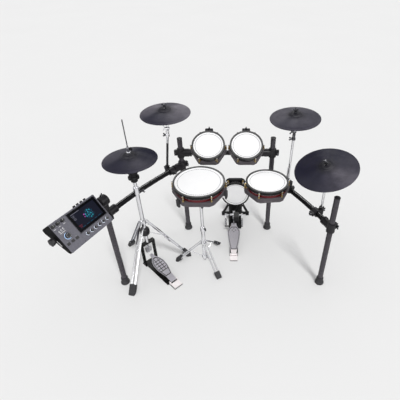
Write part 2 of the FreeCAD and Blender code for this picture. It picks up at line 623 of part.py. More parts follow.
low = cyl(S(18), S(330), 14.0).cut(cyl(S(20), S(400), 11.2))
up = tube(S(250), S(560), 11.0, 9.0)
add("snare_stand", low, up)
add("snare_stand", tube(S(310), S(346), 19.0, 14.0 + GAP).fuse(tube(S(330.2), S(346), 19.0, 11.0 + GAP)).removeSplitter())
hub_hi = tube(S(178), S(206), 21.0, 14.0 + GAP)
hub_lo = tube(S(34), S(58), 20.0, 14.0 + GAP)
add("snare_stand", hub_hi, hub_lo)
add("wing_bolts", wing_bolt(S(338) + V(0.7, -0.7, 0) * 19.8, V(-0.7, 0.7, 0), 0.15, 3.0, 30))
add("wing_bolts", knob_bolt(S(17.8), V(0, 0, 1), 0.15, 3.0, 11.0, 9.0))
for a_, r_ in zip(SNARE_LEG_ANG, SNARE_LEG_R):
    prs, a, b, t = leg_pair(SNARE_AXIS, a_, 22.0, 192.0, r_ - 26, 26.0, 12.0, 12.0, 5.0)
    d = dirxy(a_)
    legs = [c_.cut(cyl(S(120), S(260), 21.2)) for c_ in prs]
    add("snare_stand", *legs)
    add("stand_rubbers", stand_foot(a, b, t, 41.0, 24.0, 40.0, legs))
    # brace from the lower collar to the leg
    m = a + (b - a) * 0.52
    st = S(46) + d * 20.2
    en = m - unit(m - st) * 7.0
    add("snare_stand", cyl(st + unit(en - st) * 4, en - V(0, 0, 3), 3.2))
# tilter and basket
add("snare_stand", fuse(cyl(S(560), S(598), 17.0), cyl(S(578) - V(26, 0, 0), S(578) + V(26, 0, 0), 12.0), tip(cyl(S(590), S(618), 13.0)),
                         tip(cyl(S(618), S(642), 22.0))))
add("wing_bolts", wing_bolt(S(578) - V(26.3, 0, 0), V(1, 0, 0), 0.15, 3.0, 32))
add("wing_bolts", knob_bolt(S(541) + V(0.6, -0.8, 0) * 11.4, V(-0.6, 0.8, 0), 0.15, 3.0, 9.0, 8.0))
SB = (SNARE["c"][0], SNARE["c"][1])
RSN = 179.3
for a_ in BASKET_ANG:
    d = dirxy(a_)
    t = V(-d.y, d.x, 0)
    p0 = S(634) + d * 22.3
    p1 = P(SB[0], SB[1], SNARE["c"][2] - 91.4) + d * (RSN + 4)
    u = unit(p1 - p0)
    barx = put(block(12, 18, (p1 - p0).Length, 0, 0, 0), p0, u, V(0, 0, 1)).cut(cyl(S(600), S(660), 22.2))
    add("snare_stand", tip(barx))
    g0 = P(SB[0], SB[1], SNARE["c"][2] - 105.0) + d * (RSN + 4)
    grip = put(ext([(0.3, -2), (0.3, 20), (-3.6, 20.2), (-3.6, 54), (5, 60), (15, 56), (15, 2), (11, -2)], 24.0), g0 + t * 12, t * -1, d)
    grip = grip.cut(put(ext(tray_poly(SNARE["hoop"] - 9.0, 6, 0.0, 0.5), 300), P(SB[0], SB[1], 500)))
    grip = grip.cut(barx)
    add("stand_rubbers", tip(grip))

# ---------------------------------------------------------------- hi-hat stand
hx, hy = HAT_AXIS


def Hh(z):
    return P(hx, hy, z)


add("hihat_stand", tube(Hh(221), Hh(704), 14.0, 12.2), tube(Hh(620), Hh(785), 11.6, 9.6))
add("hihat_stand", fuse(tube(Hh(676), Hh(704), 20.0, 14.0 + GAP), tube(Hh(704.2), Hh(724), 20.0, 11.6 + GAP), tube(Hh(704), Hh(704.2), 20.0, 14.0 + GAP)))
add("wing_bolts", wing_bolt(Hh(696) + V(40, 0, 0), V(-1, 0, 0), 19.8, 3.5, 30))
add("hihat_stand", tube(Hh(402), Hh(436), 22.0, 14.0 + GAP))
HUB = [(14.0 + GAP, 296), (25, 296), (31, 302), (35, 312), (36, 327), (35, 342), (31, 352), (25, 358), (14.0 + GAP, 358)]
add("hihat_stand", put(rev(HUB), Hh(0)).cut(put(block(80, 5, 34, 40, 0, 0), Hh(313), V(0, 0, 1), dirxy(-46.0))))
for a_, r_ in zip(HAT_LEG_ANG, HAT_LEG_R):
    prs, a, b, t = leg_pair(HAT_AXIS, a_, 26.0, 418.0, r_ - 30, 42.0, 14.0, 14.0, 6.0)
    d = dirxy(a_)
    legs = [c_.cut(cyl(Hh(340), Hh(490), 22.2)) for c_ in prs]
    add("hihat_stand", *legs)
    add("stand_rubbers", stand_foot(a, b, t, 48.0, 30.0, 66.0, legs))
    m = a + (b - a) * 0.44
    st = Hh(308) + d * 35.4
    en = m
    dd = unit(en - st)
    add("hihat_stand", cyl(st + dd * 2, en - dd * 4.0, 3.0))

# hi-hat controller on the upper tube, cymbal, pull rod and clutch
ctl = rev([(11.6 + GAP, 772), (20, 772), (23, 775), (23, 791), (33, 795), (37.5, 799), (37.5, 811), (34, 815), (28, 818),
           (28, 838), (33, 842), (37.5, 846), (37.5, 866), (33, 876), (27, 884), (24, 888), (24, 902), (21, 908), (4.2, 908),
           (4.2, 786), (11.6 + GAP, 786)])
ctl = put(ctl, Hh(0))
add("hihat_controller", ctl)
hat = cymbal(HAT_D, Hh(HAT_Z), V(-0.015, 0.01, 1.0), V(1, 0, 0))
HATN = unit(V(-0.015, 0.01, 1.0))
hub0 = Hh(HAT_Z) + HATN * HUB_LO
add("hihat_cymbal", hat)
clutch = fuse(cyl(Hh(HAT_Z + HUB_LO - 9), Hh(HAT_Z + HUB_LO - 1.0), 12.0), cyl(Hh(HAT_Z + HUB_LO - 2), Hh(HAT_Z + HUB_HI + 12), 9.0),
              cyl(Hh(HAT_Z + HUB_HI + 1.2), Hh(HAT_Z + HUB_HI + 12), 14.0), cyl(Hh(HAT_Z + HUB_HI + 12), Hh(HAT_Z + HUB_HI + 46), 9.0))
clutch = clutch.cut(cyl(Hh(HAT_Z), Hh(HAT_Z + 150), 3.5 + GAP))
clutch = clutch.cut(cyl(Hh(HAT_Z + HUB_HI + 34), Hh(HAT_Z + HUB_HI + 34) + V(30, 0, 0), 3.2))
add("hihat_pull_rod", clutch)
add("hihat_pull_rod", wing_bolt(Hh(HAT_Z + HUB_HI + 34) + V(9.4, 0, 0), V(-1, 0, 0), 5.0, 3.0, 24))
yoke = put(rblock(22, 46, 50, 5), Hh(124), V(0, 0, 1), dirxy(HAT_PEDAL_ANG))
add("hihat_pull_rod", fuse(cyl(Hh(132), Hh(HAT_ROD_TOP), 3.5), yoke, cyl(Hh(170), Hh(186), 7.5), cyl(Hh(112), Hh(130), 4.5)))

# hi-hat pedal
pe = dirxy(HAT_PEDAL_ANG)
pf = V(-pe.y, pe.x, 0)


def Q(along, z, across=0.0):
    v = Hh(z) + pe * along + pf * across
    return v


def pbox(l0, l1, w, z0, z1, off=0.0):
    return put(block(l1 - l0, w, z1 - z0, (l0 + l1) / 2.0, off, 0), Hh(z0), V(0, 0, 1), pe)


HP_HINGE, HP_HZ, HP_SLOPE, HP_LEN = 300.0, 21.0, 15.0, 292.0
frame_ = fuse(pbox(-13, 13, 14, 0, 206, 51), pbox(-13, 13, 14, 0, 206, -51), pbox(-14, 14, 116, 204, 221),
              pbox(-30, 22, 116, 0, 6), pbox(20, 290, 80, 0, 5, -8), pbox(282, 362, 70, 0, 5))
frame_ = frame_.cut(cyl(Hh(190), Hh(240), 9.0))
add("hihat_pedal_frame", frame_)


hl = fuse(pbox(308, 360, 66, 5, 17), pbox(290, 312, 7, 5, 28, 30.5), pbox(290, 312, 7, 5, 28, -30.5))
hl = hl.makeFillet(2.0, [e for e in hl.Edges if abs(e.tangentAt(e.FirstParameter).dot(pf)) > 0.95 and e.CenterOfMass.z > 16])
hl = hl.cut(cyl(Q(HP_HINGE, HP_HZ, -60), Q(HP_HINGE, HP_HZ, 60), 3.0 + GAP))
add("pedal_heel_plates", hl, cyl(Q(HP_HINGE, HP_HZ, -36), Q(HP_HINGE, HP_HZ, 36), 3.0))


def footboard(o, fwd, side, slope, outline, th=5.0):
    """plate rising from the hinge at o along fwd; outline gives (distance, half width)"""
    up_ = V(0, 0, 1)
    f = fwd * cos(radians(slope)) + up_ * sin(radians(slope))
    n = up_ * cos(radians(slope)) - fwd * sin(radians(slope))
    pts = [(s, w) for s, w in outline] + [(s, -w) for s, w in reversed(outline)]
    pl = put(ext(pts, th), o + n * 2.0, n, f)
    return pl, f, n


hb_out = [(9, 24), (30, 25), (60, 26), (95, 36), (140, 46), (190, 46), (225, 36), (248, 20), (262, 13), (292, 11)]
o_ = Q(HP_HINGE, HP_HZ)
plate, hfv, hnv = footboard(o_, pe * -1, pf, HP_SLOPE, hb_out)
barrel = cyl(Q(HP_HINGE, HP_HZ, -26.5), Q(HP_HINGE, HP_HZ, 26.5), 7.0)
tongue = put(block(14, 48, 5, 6, 0, 2.0), o_, hnv, hfv)
rim_o = [(60, 22), (95, 31), (140, 41), (188, 41), (220, 31), (240, 18), (246, 10)]
rim_i = [(66, 19), (97, 27.5), (140, 37), (186, 37), (216, 28), (234, 16), (239, 9)]


def outl(pts):
    return [(s, w) for s, w in pts] + [(s, -w) for s, w in reversed(pts)]


rim = put(ext(outl(rim_o), 2.4), o_ + hnv * 7.0, hnv, hfv).cut(put(ext(outl(rim_i), 6), o_ + hnv * 6.0, hnv, hfv))
ribs = []
for i, sss in enumerate((112, 136, 160, 184, 208)):
    ribs.append(put(block(5, 62 if sss < 200 else 46, 2.0, sss, 0, 0), o_ + hnv * 7.0, hnv, hfv).common(
        put(ext(outl(rim_i), 6), o_ + hnv * 6.0, hnv, hfv)))
fb = fuse(plate, barrel, tongue, rim, *ribs).cut(cyl(Q(HP_HINGE, HP_HZ, -60), Q(HP_HINGE, HP_HZ, 60), 3.0 + SLIP))
add("hihat_footboard", fb)

# ---------------------------------------------------------------- kick tower
kx, ky, kz = KICK["c"]
ry = ky + DRUM_DEPTH


def K(x, y, z):
    return P(kx + x, y, z)


base = put(block(104, 232, 6, 0, 0, 0), P(kx, ky + 36, 4))
lip = put(block(70, 24, 8, 0, 0, 0), P(kx, ky - 68, 8))
column = put(rblock(104, 38, 190, 5), P(kx, ky + 30, 8))
back = put(block(120, 9, 330, 0, 0, 0), P(kx, ry + 4.5, 8))
gus = []
for sgn in (-1, 1):
    pts = [(sgn * 28, 6), (sgn * 124, 6), (sgn * 128, 30), (sgn * 118, 36), (sgn * 62, 150), (sgn * 28, 150)]
    hole = [(sgn * 60, 30), (sgn * 98, 30), (sgn * 62, 104)]
    g = ext(pts, 12).cut(put(ext(hole, 40), V(0, 0, -10)))
    gus.append(put(g, P(kx, ry + 46, 0), V(0, -1, 0), V(1, 0, 0)))
rib = put(block(60, 32, 120, 0, 0, 0), P(kx, ry + 24, 8))
tower = fuse(base, lip, column, back, rib, *gus)
# clear the drum that stands in front of the back plate
tower = tower.cut(put(Part.makeCylinder(KICK["hoop"] + 0.4, DRUM_DEPTH + 8.6), P(kx, ky - 8.6, kz), V(0, 1, 0)))
add("kick_tower", tower)
for sgn in (-1, 1):
    add("stand_rubbers", put(rblock(30, 30, 6, 5), P(kx + sgn * 112, ry + 40, 0)))
    add("stand_rubbers", put(rblock(26, 26, 4, 5), P(kx + sgn * 36, ky + 136, 0)))
    add("stand_rubbers", put(rblock(20, 20, 4, 4), P(kx + sgn * 36, ky - 60, 0)))
add("wing_bolts", knob_bolt(P(kx, ry + 9.2 + 0.0, kz), V(0, -1, 0), 0.15, 4.0, 16.0, 10.0))

# ---------------------------------------------------------------- kick pedal
def B(x, y, z):
    return P(PED_X + x, y, z)


def kbox(x0, x1, y0, y1, z0, z1):
    return Part.makeBox(x1 - x0, y1 - y0, z1 - z0, B(x0, y0, z0))


fr = fuse(kbox(-34, 34, 1990, 2322, 0, 5), kbox(-29, 29, 1936, 1996, 0, 5))
for sgn in (-1, 1):
    up1 = ext([(2272, 0), (2322, 0), (2320, 30), (2312, 60), (2313, 176), (2310, 192), (2300, 198), (2290, 192), (2287, 176), (2284, 60), (2274, 24)], 9.0)
    up1 = put(up1, V(0, 0, 0), V(1, 0, 0), V(0, 1, 0))
    up1.translate(V(PED_X - PLAN_X + (36 if sgn > 0 else -45), -PLAN_Y, 0))
    fr = fr.fuse(up1)
fr = fr.fuse(kbox(-45, 45, 2276, 2320, 0, 9)).fuse(kbox(-20, 20, 2308, 2326, 4, 31)).fuse(kbox(-20, 20, 2308, 2350, 23, 31)).removeSplitter()
fr = fr.cut(cyl(B(-80, AXLE_Y, AXLE_Z), B(80, AXLE_Y, AXLE_Z), 6.0 + SLIP))
# spring anchors on the outside of both uprights
for sgn in (-1, 1):
    fr = fr.fuse(cyl(B(sgn * 44, AXLE_Y, 56), B(sgn * (SPRING_X + 9.5), AXLE_Y, 56), 5.0))
fr = fr.removeSplitter()
add("kick_pedal_frame", fr)
kh = fuse(kbox(-29, 29, 1937, 1979, 5, 17), kbox(-29, -22.6, 1975, 1999, 5, 27), kbox(22.6, 29, 1975, 1999, 5, 27))
kh = kh.makeFillet(2.0, [e for e in kh.Edges if abs(e.tangentAt(e.FirstParameter).x) > 0.95 and e.CenterOfMass.z > 16 and e.CenterOfMass.y < 1950 - PLAN_Y])
kh = kh.cut(cyl(B(-60, PED_HINGE_Y, PED_HINGE_Z), B(60, PED_HINGE_Y, PED_HINGE_Z), 3.0 + GAP))
add("pedal_heel_plates", kh, cyl(B(-32, PED_HINGE_Y, PED_HINGE_Z), B(32, PED_HINGE_Y, PED_HINGE_Z), 3.0))

kb_out = [(9, 20), (40, 26), (90, 37), (140, 46), (190, 52.5), (222, 52), (250, 36), (268, 25), (284, 22), (PED_LEN, 20)]
ko = B(0, PED_HINGE_Y, PED_HINGE_Z)
kplate, kf, kn = footboard(ko, V(0, 1, 0), V(-1, 0, 0), PED_SLOPE, kb_out, 6.0)
kbar = cyl(B(-22, PED_HINGE_Y, PED_HINGE_Z), B(22, PED_HINGE_Y, PED_HINGE_Z), 7.0)
ktong = put(block(14, 40, 6, 6, 0, 2.0), ko, kn, kf)
ki = [(44, 21), (90, 31), (140, 40), (190, 46.5), (218, 46), (242, 33), (258, 21)]
kri = [(50, 18.5), (92, 28), (140, 36.8), (190, 43.2), (216, 42.6), (238, 30.6), (252, 19)]
krim = put(ext(outl(ki), 1.6), ko + kn * 8.0, kn, kf).cut(put(ext(outl(kri), 6), ko + kn * 7.0, kn, kf))
khole = [put(Part.makeCylinder(4.0, 20), ko + kf * s_ + kn * -4 + V(1, 0, 0) * x_, kn) for s_, x_ in ((226, -14), (226, 14), (240, 0), (212, 0))]
kfb = fuse(kplate, kbar, ktong, krim)
for h_ in khole:
    kfb = kfb.cut(h_)
kfb = kfb.cut(cyl(B(-60, PED_HINGE_Y, PED_HINGE_Z), B(60, PED_HINGE_Y, PED_HINGE_Z), 3.0 + SLIP))
add("kick_footboard", kfb)
TOE = ko + kf * (PED_LEN - 12) + kn * 8.0

ax0 = B(0, AXLE_Y, AXLE_Z)
bd = V(0, sin(radians(BEATER_REST)), cos(radians(BEATER_REST)))
axle = fuse(cyl(ax0 - V(SPRING_X + 6.5, 0, 0), ax0 + V(SPRING_X + 6.5, 0, 0), 6.0), cyl(ax0 - V(8, 0, 0), ax0 + V(8, 0, 0), SPROCKET_R - 5),
            cyl(ax0 - V(9.5, 0, 0), ax0 - V(7.5, 0, 0), SPROCKET_R), cyl(ax0 + V(7.5, 0, 0), ax0 + V(9.5, 0, 0), SPROCKET_R),
            cyl(ax0 + V(12, 0, 0), ax0 + V(30, 0, 0), 13.0), cyl(ax0 - V(30, 0, 0), ax0 - V(12, 0, 0), 10.0))
# spring levers on both ends of the axle
for sgn in (-1, 1):
    e0 = ax0 + V(sgn * (SPRING_X - 6.5), 0, 0)
    axle = axle.fuse(cyl(e0, e0 + V(sgn * 13, 0, 0), 12.0)).fuse(
        put(block(13, 16, 20, 0, 0, -26), e0 + V(sgn * 6.5, 0, 0), V(0, 0, 1), V(1, 0, 0)))
axle = axle.removeSplitter()
# beater stem stands in the hub beside the chain wheel
sb = ax0 + V(21, 0, 0)
axle = axle.cut(cyl(sb - bd * 12, sb + bd * 30, 4.0 + GAP))
add("kick_beater", axle)
bc = sb + bd * BEATER_L
hd = V(0, cos(radians(BEATER_STRIKE - BEATER_REST)), sin(radians(BEATER_STRIKE - BEATER_REST)))
stem = cyl(sb - bd * 10, bc - bd * 10, 4.0)
hb = put(rblock(40, 48, 30, 8), bc - hd * 15 - V(0, 0, 0), hd, V(1, 0, 0))
felt = put(rblock(44, 52, 15, 12), bc + hd * 15.0, hd, V(1, 0, 0))
cap_ = put(rblock(44, 52, 10, 12), bc - hd * 25.0, hd, V(1, 0, 0))
hb = hb.cut(cyl(bc - bd * 40, bc - bd * 9.8, 4.0 + GAP))
cap_ = cap_.cut(cyl(bc - bd * 60, bc, 4.0 + GAP))
add("kick_beater", stem, hb, felt, cap_)


def coil(a, b, r, wire, turns):
    """closed outer shape of a coil spring: ribbed sleeve"""
    L = (b - a).Length
    pts = [(r - wire, 0)]
    n = turns
    for i in range(n):
        z0 = L * i / n
        z1 = L * (i + 1) / n
        pts.append((r - wire * 0.45, z0))
        pts.append((r, z0 + (z1 - z0) * 0.3))
        pts.append((r, z0 + (z1 - z0) * 0.7))
    pts.append((r - wire * 0.45, L))
    pts.append((r - wire, L))
    return put(rev(pts), a, b - a)


for sgn in (-1, 1):
    e0 = ax0 + V(sgn * SPRING_X, 0, 0)
    add("kick_chain_and_springs", coil(V(e0.x, e0.y, 61.6), V(e0.x, e0.y, 158.4), 9.0, 3.0, 16))
# chain: links down the front of the wheel to the toe of the board
ch_top = V(ax0.x, ax0.y - SPROCKET_R + 1.0, AXLE_Z - 2)
links = []
top_z = AXLE_Z - 4
bot = TOE + V(0, 0, 1.2)
nl = 6
for i in range(nl):
    f_ = (i + 0.5) / nl
    c_ = V(ax0.x, 0, 0) + V(0, (ax0.y - SPROCKET_R - 3.0) * (1 - f_) + bot.y * f_, top_z * (1 - f_) + bot.z * f_)
    dirv = unit(V(0, bot.y - (ax0.y - SPROCKET_R - 3.0), bot.z - top_z))
    ln = V(0, bot.y - (ax0.y - SPROCKET_R - 3.0), bot.z - top_z).Length / nl - 0.4
    wdt = 12.0 if i % 2 == 0 else 9.0
    links.append(put(rblock(wdt, 5.0, ln, 1.6, -ln / 2.0), c_, dirv, V(1, 0, 0)))
add("kick_chain_and_springs", *links)

# ---------------------------------------------------------------- sound module
cyw, syw = cos(radians(MOD_YAW)), sin(radians(MOD_YAW))
MU = V(cyw, syw, 0)
MVH = V(syw, -cyw, 0)
ct, st_ = cos(radians(MOD_TILT)), sin(radians(MOD_TILT))
MVV = MVH * ct - V(0, 0, 1) * st_
MN = V(0, 0, 1) * ct + MVH * st_
MC = P(*MOD_C)


def M(u, v, n):
    return MC + MU * u + MVV * v + MN * n


def mput(s, u=0.0, v=0.0, n=0.0):
    # local x along the long edge, local z out of the panel; local y points away from the drummer
    return put(s, M(u, v, n), MN, MU)


W2, D2 = MOD_W / 2.0, MOD_D / 2.0
# section across the case (y towards the rear, z out of the panel)
sec = [(-D2, -3), (D2, -3), (D2, -MOD_T_REAR + 8), (D2 - 8, -MOD_T_REAR), (D2 - 30, -MOD_T_REAR), (-D2 + 10, -MOD_T_FRONT), (-D2, -MOD_T_FRONT + 8)]
w_ = Part.makePolygon([V(-W2, y, z) for y, z in sec] + [V(-W2, sec[0][0], sec[0][1])])
case = Part.Face(w_).extrude(V(MOD_W, 0, 0))
inn = [(-D2 + 3, -2), (D2 - 3, -2), (D2 - 3, -MOD_T_REAR + 9), (D2 - 10, -MOD_T_REAR + 3), (D2 - 30, -MOD_T_REAR + 3), (-D2 + 11, -MOD_T_FRONT + 3), (-D2 + 3, -MOD_T_FRONT + 9)]
wi = Part.makePolygon([V(-W2 + 3, y, z) for y, z in inn] + [V(-W2 + 3, inn[0][0], inn[0][1])])
case = case.cut(Part.Face(wi).extrude(V(MOD_W - 6, 0, 0)))

# controls on the panel: (u, v) from the panel centre, v towards the drummer
SCREEN = (-50.0, 152.0, -87.0, 40.0)
VOLS = [(-147.0, -77.0), (-116.0, -77.0), (-85.0, -77.0)]
ENC = (-115.0, 8.0)
DIALS = [(-20.0 + 30.5 * i, 65.0) for i in range(6)]
KEYS = [(-141.0, 47.0), (-111.0, 46.5), (-82.0, 47.0)]
panel = rblock(MOD_W, MOD_D, 3.0, 6.0, -3.0)
scx, scy = (SCREEN[0] + SCREEN[1]) / 2, -(SCREEN[2] + SCREEN[3]) / 2
sw, sh = SCREEN[1] - SCREEN[0], SCREEN[3] - SCREEN[2]
win = block(sw + 0.4, sh + 0.4, 20, scx, scy, -10)
panel = panel.cut(win)
for (u, v), r in [(p_, 4.6) for p_ in VOLS] + [(ENC, 5.6)] + [(p_, 3.6) for p_ in DIALS]:
    panel = panel.cut(Part.makeCylinder(r, 20, V(u, -v, -10)))
for u, v in KEYS:
    panel = panel.cut(put(rblock(19.2, 16.2, 20, 3, -10), V(u, -v, 0)))
add("module_panel", mput(panel))
add("module_screen", mput(block(sw, sh, 5.0, scx, scy, -5.2)))
add("module_screen", mput(block(sw - 14, sh - 8, 6.0, scx, scy, -11.4)))

# case corner rounding follows the panel
case = case.common(rblock(MOD_W, MOD_D, 140, 6.0, -130))
# right-hand pivot boss and the stub that sits in the post-top clamp
pvt = P(FL[0], FL[1], PIV_Z)
rel = pvt - MC
pu, pv, pn = rel.dot(MU), rel.dot(MVV), rel.dot(MN)
flange0 = M(W2 + 0.0, pv, pn)
stub = fuse(cyl(flange0, flange0 + MU * 6, 24.0), cyl(flange0 + MU * 6, flange0 + MU * 10, 17.0), cyl(flange0, M(pu + 34, pv, pn), 9.5))
case = case.cut(cyl(M(W2 - 10, pv, pn), M(W2 + 1, pv, pn), 5.0))
# jack holes on the rear wall
JACKS = [36.0, 62.0, 88.0, 114.0]
for u in JACKS:
    case = case.cut(cyl(M(u, -D2 - 5, -34), M(u, -D2 + 12, -34), 6.5))
add("module_housing", put(case, MC, MN, MU).cut(cyl(M(W2 - 10, pv, pn), M(W2 + 1, pv, pn), 5.0)))
hs = NODES["module_housing"][0]
for u in JACKS:
    hs = hs.cut(cyl(M(u, -D2 - 5, -34), M(u, -D2 + 12, -34), 6.5))
NODES["module_housing"] = [hs]
add("module_housing", stub)
# clamp on top of the front left post
bar0 = pvt - MU * 26
ptc = fuse(cyl(pvt - MU * 27, pvt + MU * 27, 35.0), cyl(pvt - MU * 30, pvt + MU * 30, 27.0), put(rev([(0, -70), (27, -70), (29, -66), (29, 0), (0, 0)]), pvt))
ptc = ptc.cut(cyl(P(FL[0], FL[1], 600), P(FL[0], FL[1], PIV_Z - 22), TUBE_R + GAP))
ptc = ptc.cut(cyl(pvt - MU * 80, pvt + MU * 80, 9.5 + SLIP))
ptc = ptc.cut(cyl(pvt, pvt + V(0, 0, 60), 4.2))
add("rack_clamps", ptc)
add("wing_bolts", wing_bolt(pvt + V(0, 0, 35.6), V(0, 0, -1), 20, 4.0, 34))
# jacks
for u in JACKS:
    a = M(u, -D2, -34)
    add("module_jacks", fuse(cyl(a - MVV * 9, a, 8.0), cyl(a, a + MVV * 10, 6.3)).cut(cyl(a - MVV * 12, a + MVV * 8, 3.3)))
# mounting thumbscrew under the left end
ang_w = atan2(MOD_T_REAR - MOD_T_FRONT, MOD_D - 40)
add("module_housing", knob_bolt(M(-W2 - 14.2, -12, -52), MU, 14.1, 6.0, 21.0, 17.0))

# controls
def knob(r0, r1, h, flutes):
    pts = []
    n = flutes * 4
    for i in range(n):
        a = 2 * pi * i / n
        rr = r0 * (1.0 + (0.02 if (i // 2) % 2 == 0 else -0.02))
        pts.append((rr * cos(a), rr * sin(a)))
    b = ext(pts, h * 0.72)
    t = put(Part.makeCone(r0 * 0.97, r1, h * 0.28), V(0, 0, h * 0.72))
    return fuse(b, t)


for i, (u, v) in enumerate(VOLS):
    k = fuse(put(knob(10.5, 8.4, 15.0, 14), V(0, 0, 0.6)), Part.makeCylinder(4.2, 12.6, V(0, 0, -12)))
    add("volume_knob_%d" % (i + 1), mput(k, u, v, 0))
k = fuse(put(knob(16.0, 13.5, 14.0, 20), V(0, 0, 0.6)), Part.makeCylinder(5.2, 12.6, V(0, 0, -12)))
k = k.cut(put(Part.makeSphere(26), V(0, 0, 38.6)))
add("module_encoder", mput(k, ENC[0], ENC[1], 0))
for i, (u, v) in enumerate(DIALS):
    k = fuse(put(knob(7.6, 6.2, 11.0, 12), V(0, 0, 0.6)), Part.makeCylinder(3.2, 12.6, V(0, 0, -12)))
    add("dial_%d" % (i + 1), mput(k, u, v, 0))
mat = put(block(84, 24, 3, -111.5, -47, -9.5), V(0, 0, 0))
keys = mat
for u, v in KEYS:
    keys = keys.fuse(put(rblock(18.4, 15.4, 8.6, 2.8, -7.0), V(u, -v, 0)))
add("module_keys", mput(keys.removeSplitter()))

# ---------------------------------------------------------------- write
os.makedirs("parts", exist_ok=True)
for name in sorted(NODES):
    solids = []
    for s in NODES[name]:
        solids.extend(s.Solids if s.ShapeType != "Solid" else [s])
    shape = solids[0] if len(solids) == 1 else Part.makeCompound(solids)
    shape.exportStep("parts/%s.step" % name)
allb = FreeCAD.BoundBox()
for name in NODES:
    for shp in NODES[name]:
        allb.add(shp.optimalBoundingBox(False, False))
print("nodes", len(NODES), "box", [round(v, 3) for v in (allb.XMin, allb.XMax, allb.YMin, allb.YMax, allb.ZMin, allb.ZMax)])
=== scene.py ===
import bpy, bmesh
import numpy as np
from math import sin, cos, tan, pi, radians, degrees, atan2, sqrt, hypot
from mathutils import Vector, Matrix


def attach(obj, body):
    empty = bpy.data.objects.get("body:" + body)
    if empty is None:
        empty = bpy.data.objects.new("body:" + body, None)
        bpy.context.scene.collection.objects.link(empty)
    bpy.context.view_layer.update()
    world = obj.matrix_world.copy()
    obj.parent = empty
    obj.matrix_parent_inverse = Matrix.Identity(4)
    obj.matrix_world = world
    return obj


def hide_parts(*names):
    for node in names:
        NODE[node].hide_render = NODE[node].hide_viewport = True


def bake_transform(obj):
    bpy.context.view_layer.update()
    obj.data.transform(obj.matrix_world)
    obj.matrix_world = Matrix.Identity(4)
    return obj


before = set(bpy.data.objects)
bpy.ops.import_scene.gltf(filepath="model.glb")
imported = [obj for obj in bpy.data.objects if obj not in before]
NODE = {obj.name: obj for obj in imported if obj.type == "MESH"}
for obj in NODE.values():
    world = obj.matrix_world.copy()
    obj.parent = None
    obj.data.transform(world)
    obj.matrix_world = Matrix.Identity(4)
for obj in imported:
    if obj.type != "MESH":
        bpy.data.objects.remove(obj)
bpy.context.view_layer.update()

scene = bpy.context.scene
scene.view_settings.view_transform = "Standard"
scene.view_settings.look = "None"

# ------------------------------------------------------------------ places, in millimetres of the object's frame
PX, PY = -133.267, 1948.056


def P(x, y, z=0.0):
    return Vector((x - PX, y - PY, z))


def unit(v):
    return Vector(v).normalized()


def basis(o, z, x=None):
    z = unit(z)
    if x is None:
        x = Vector((1, 0, 0)) if abs(z.x) < 0.9 else Vector((0, 1, 0))
    x = Vector(x) - z * z.dot(Vector(x))
    x.normalize()
    y = z.cross(x)
    return Matrix(((x.x, y.x, z.x, o.x), (x.y, y.y, z.y, o.y), (x.z, y.z, z.z, o.z), (0, 0, 0, 1)))


UP = Vector((0, 0, 1))
SNARE_C, SNARE_H, SNARE_V = (-245.0, 1956.04, 753.04), 178.5, 166.0
SNARE_N = Vector((0, -sin(radians(3)), cos(radians(3))))
FLOOR_C, FLOOR_H, FLOOR_V = (233.6, 2090.0, 666.6), 156.0, 142.0
TOM_X, TOM_Y, TOM_Z, TOM_H, TOM_V = (-196.0, 84.0), 2270.0, 865.0, 123.0, 110.0
KICK_C, KICK_H, KICK_V = (4.0, 2410.0, 319.0), 119.0, 108.0
TN = Vector((0, -sin(radians(30)), cos(radians(30))))
HAT_AXIS, HAT_Z = (-673.0, 1930.0), 939.0
CRASH_L, CRASH_R, RIDE = (-485.0, 2288.0, 1102.0), (415.0, 2244.0, 1084.0), (590.0, 1908.0, 881.0)
CRASH_LN, CRASH_RN = Vector((-0.010, -0.054, 1.0)), Vector((-0.057, -0.062, 1.0))
PED_X, AXLE_Y, AXLE_Z = -10.0, 2300.0, 185.0
yaw, tilt = radians(63.5), radians(51.2)
MU = Vector((cos(yaw), sin(yaw), 0))
MVH = Vector((sin(yaw), -cos(yaw), 0))
MVV = MVH * cos(tilt) - UP * sin(tilt)
MN = UP * cos(tilt) + MVH * sin(tilt)
MC = P(-866.0, 1503.0, 775.0)
MODULE = basis(MC, MN, MU)          # local x along the long edge, local y to the rear edge, local z out of the panel


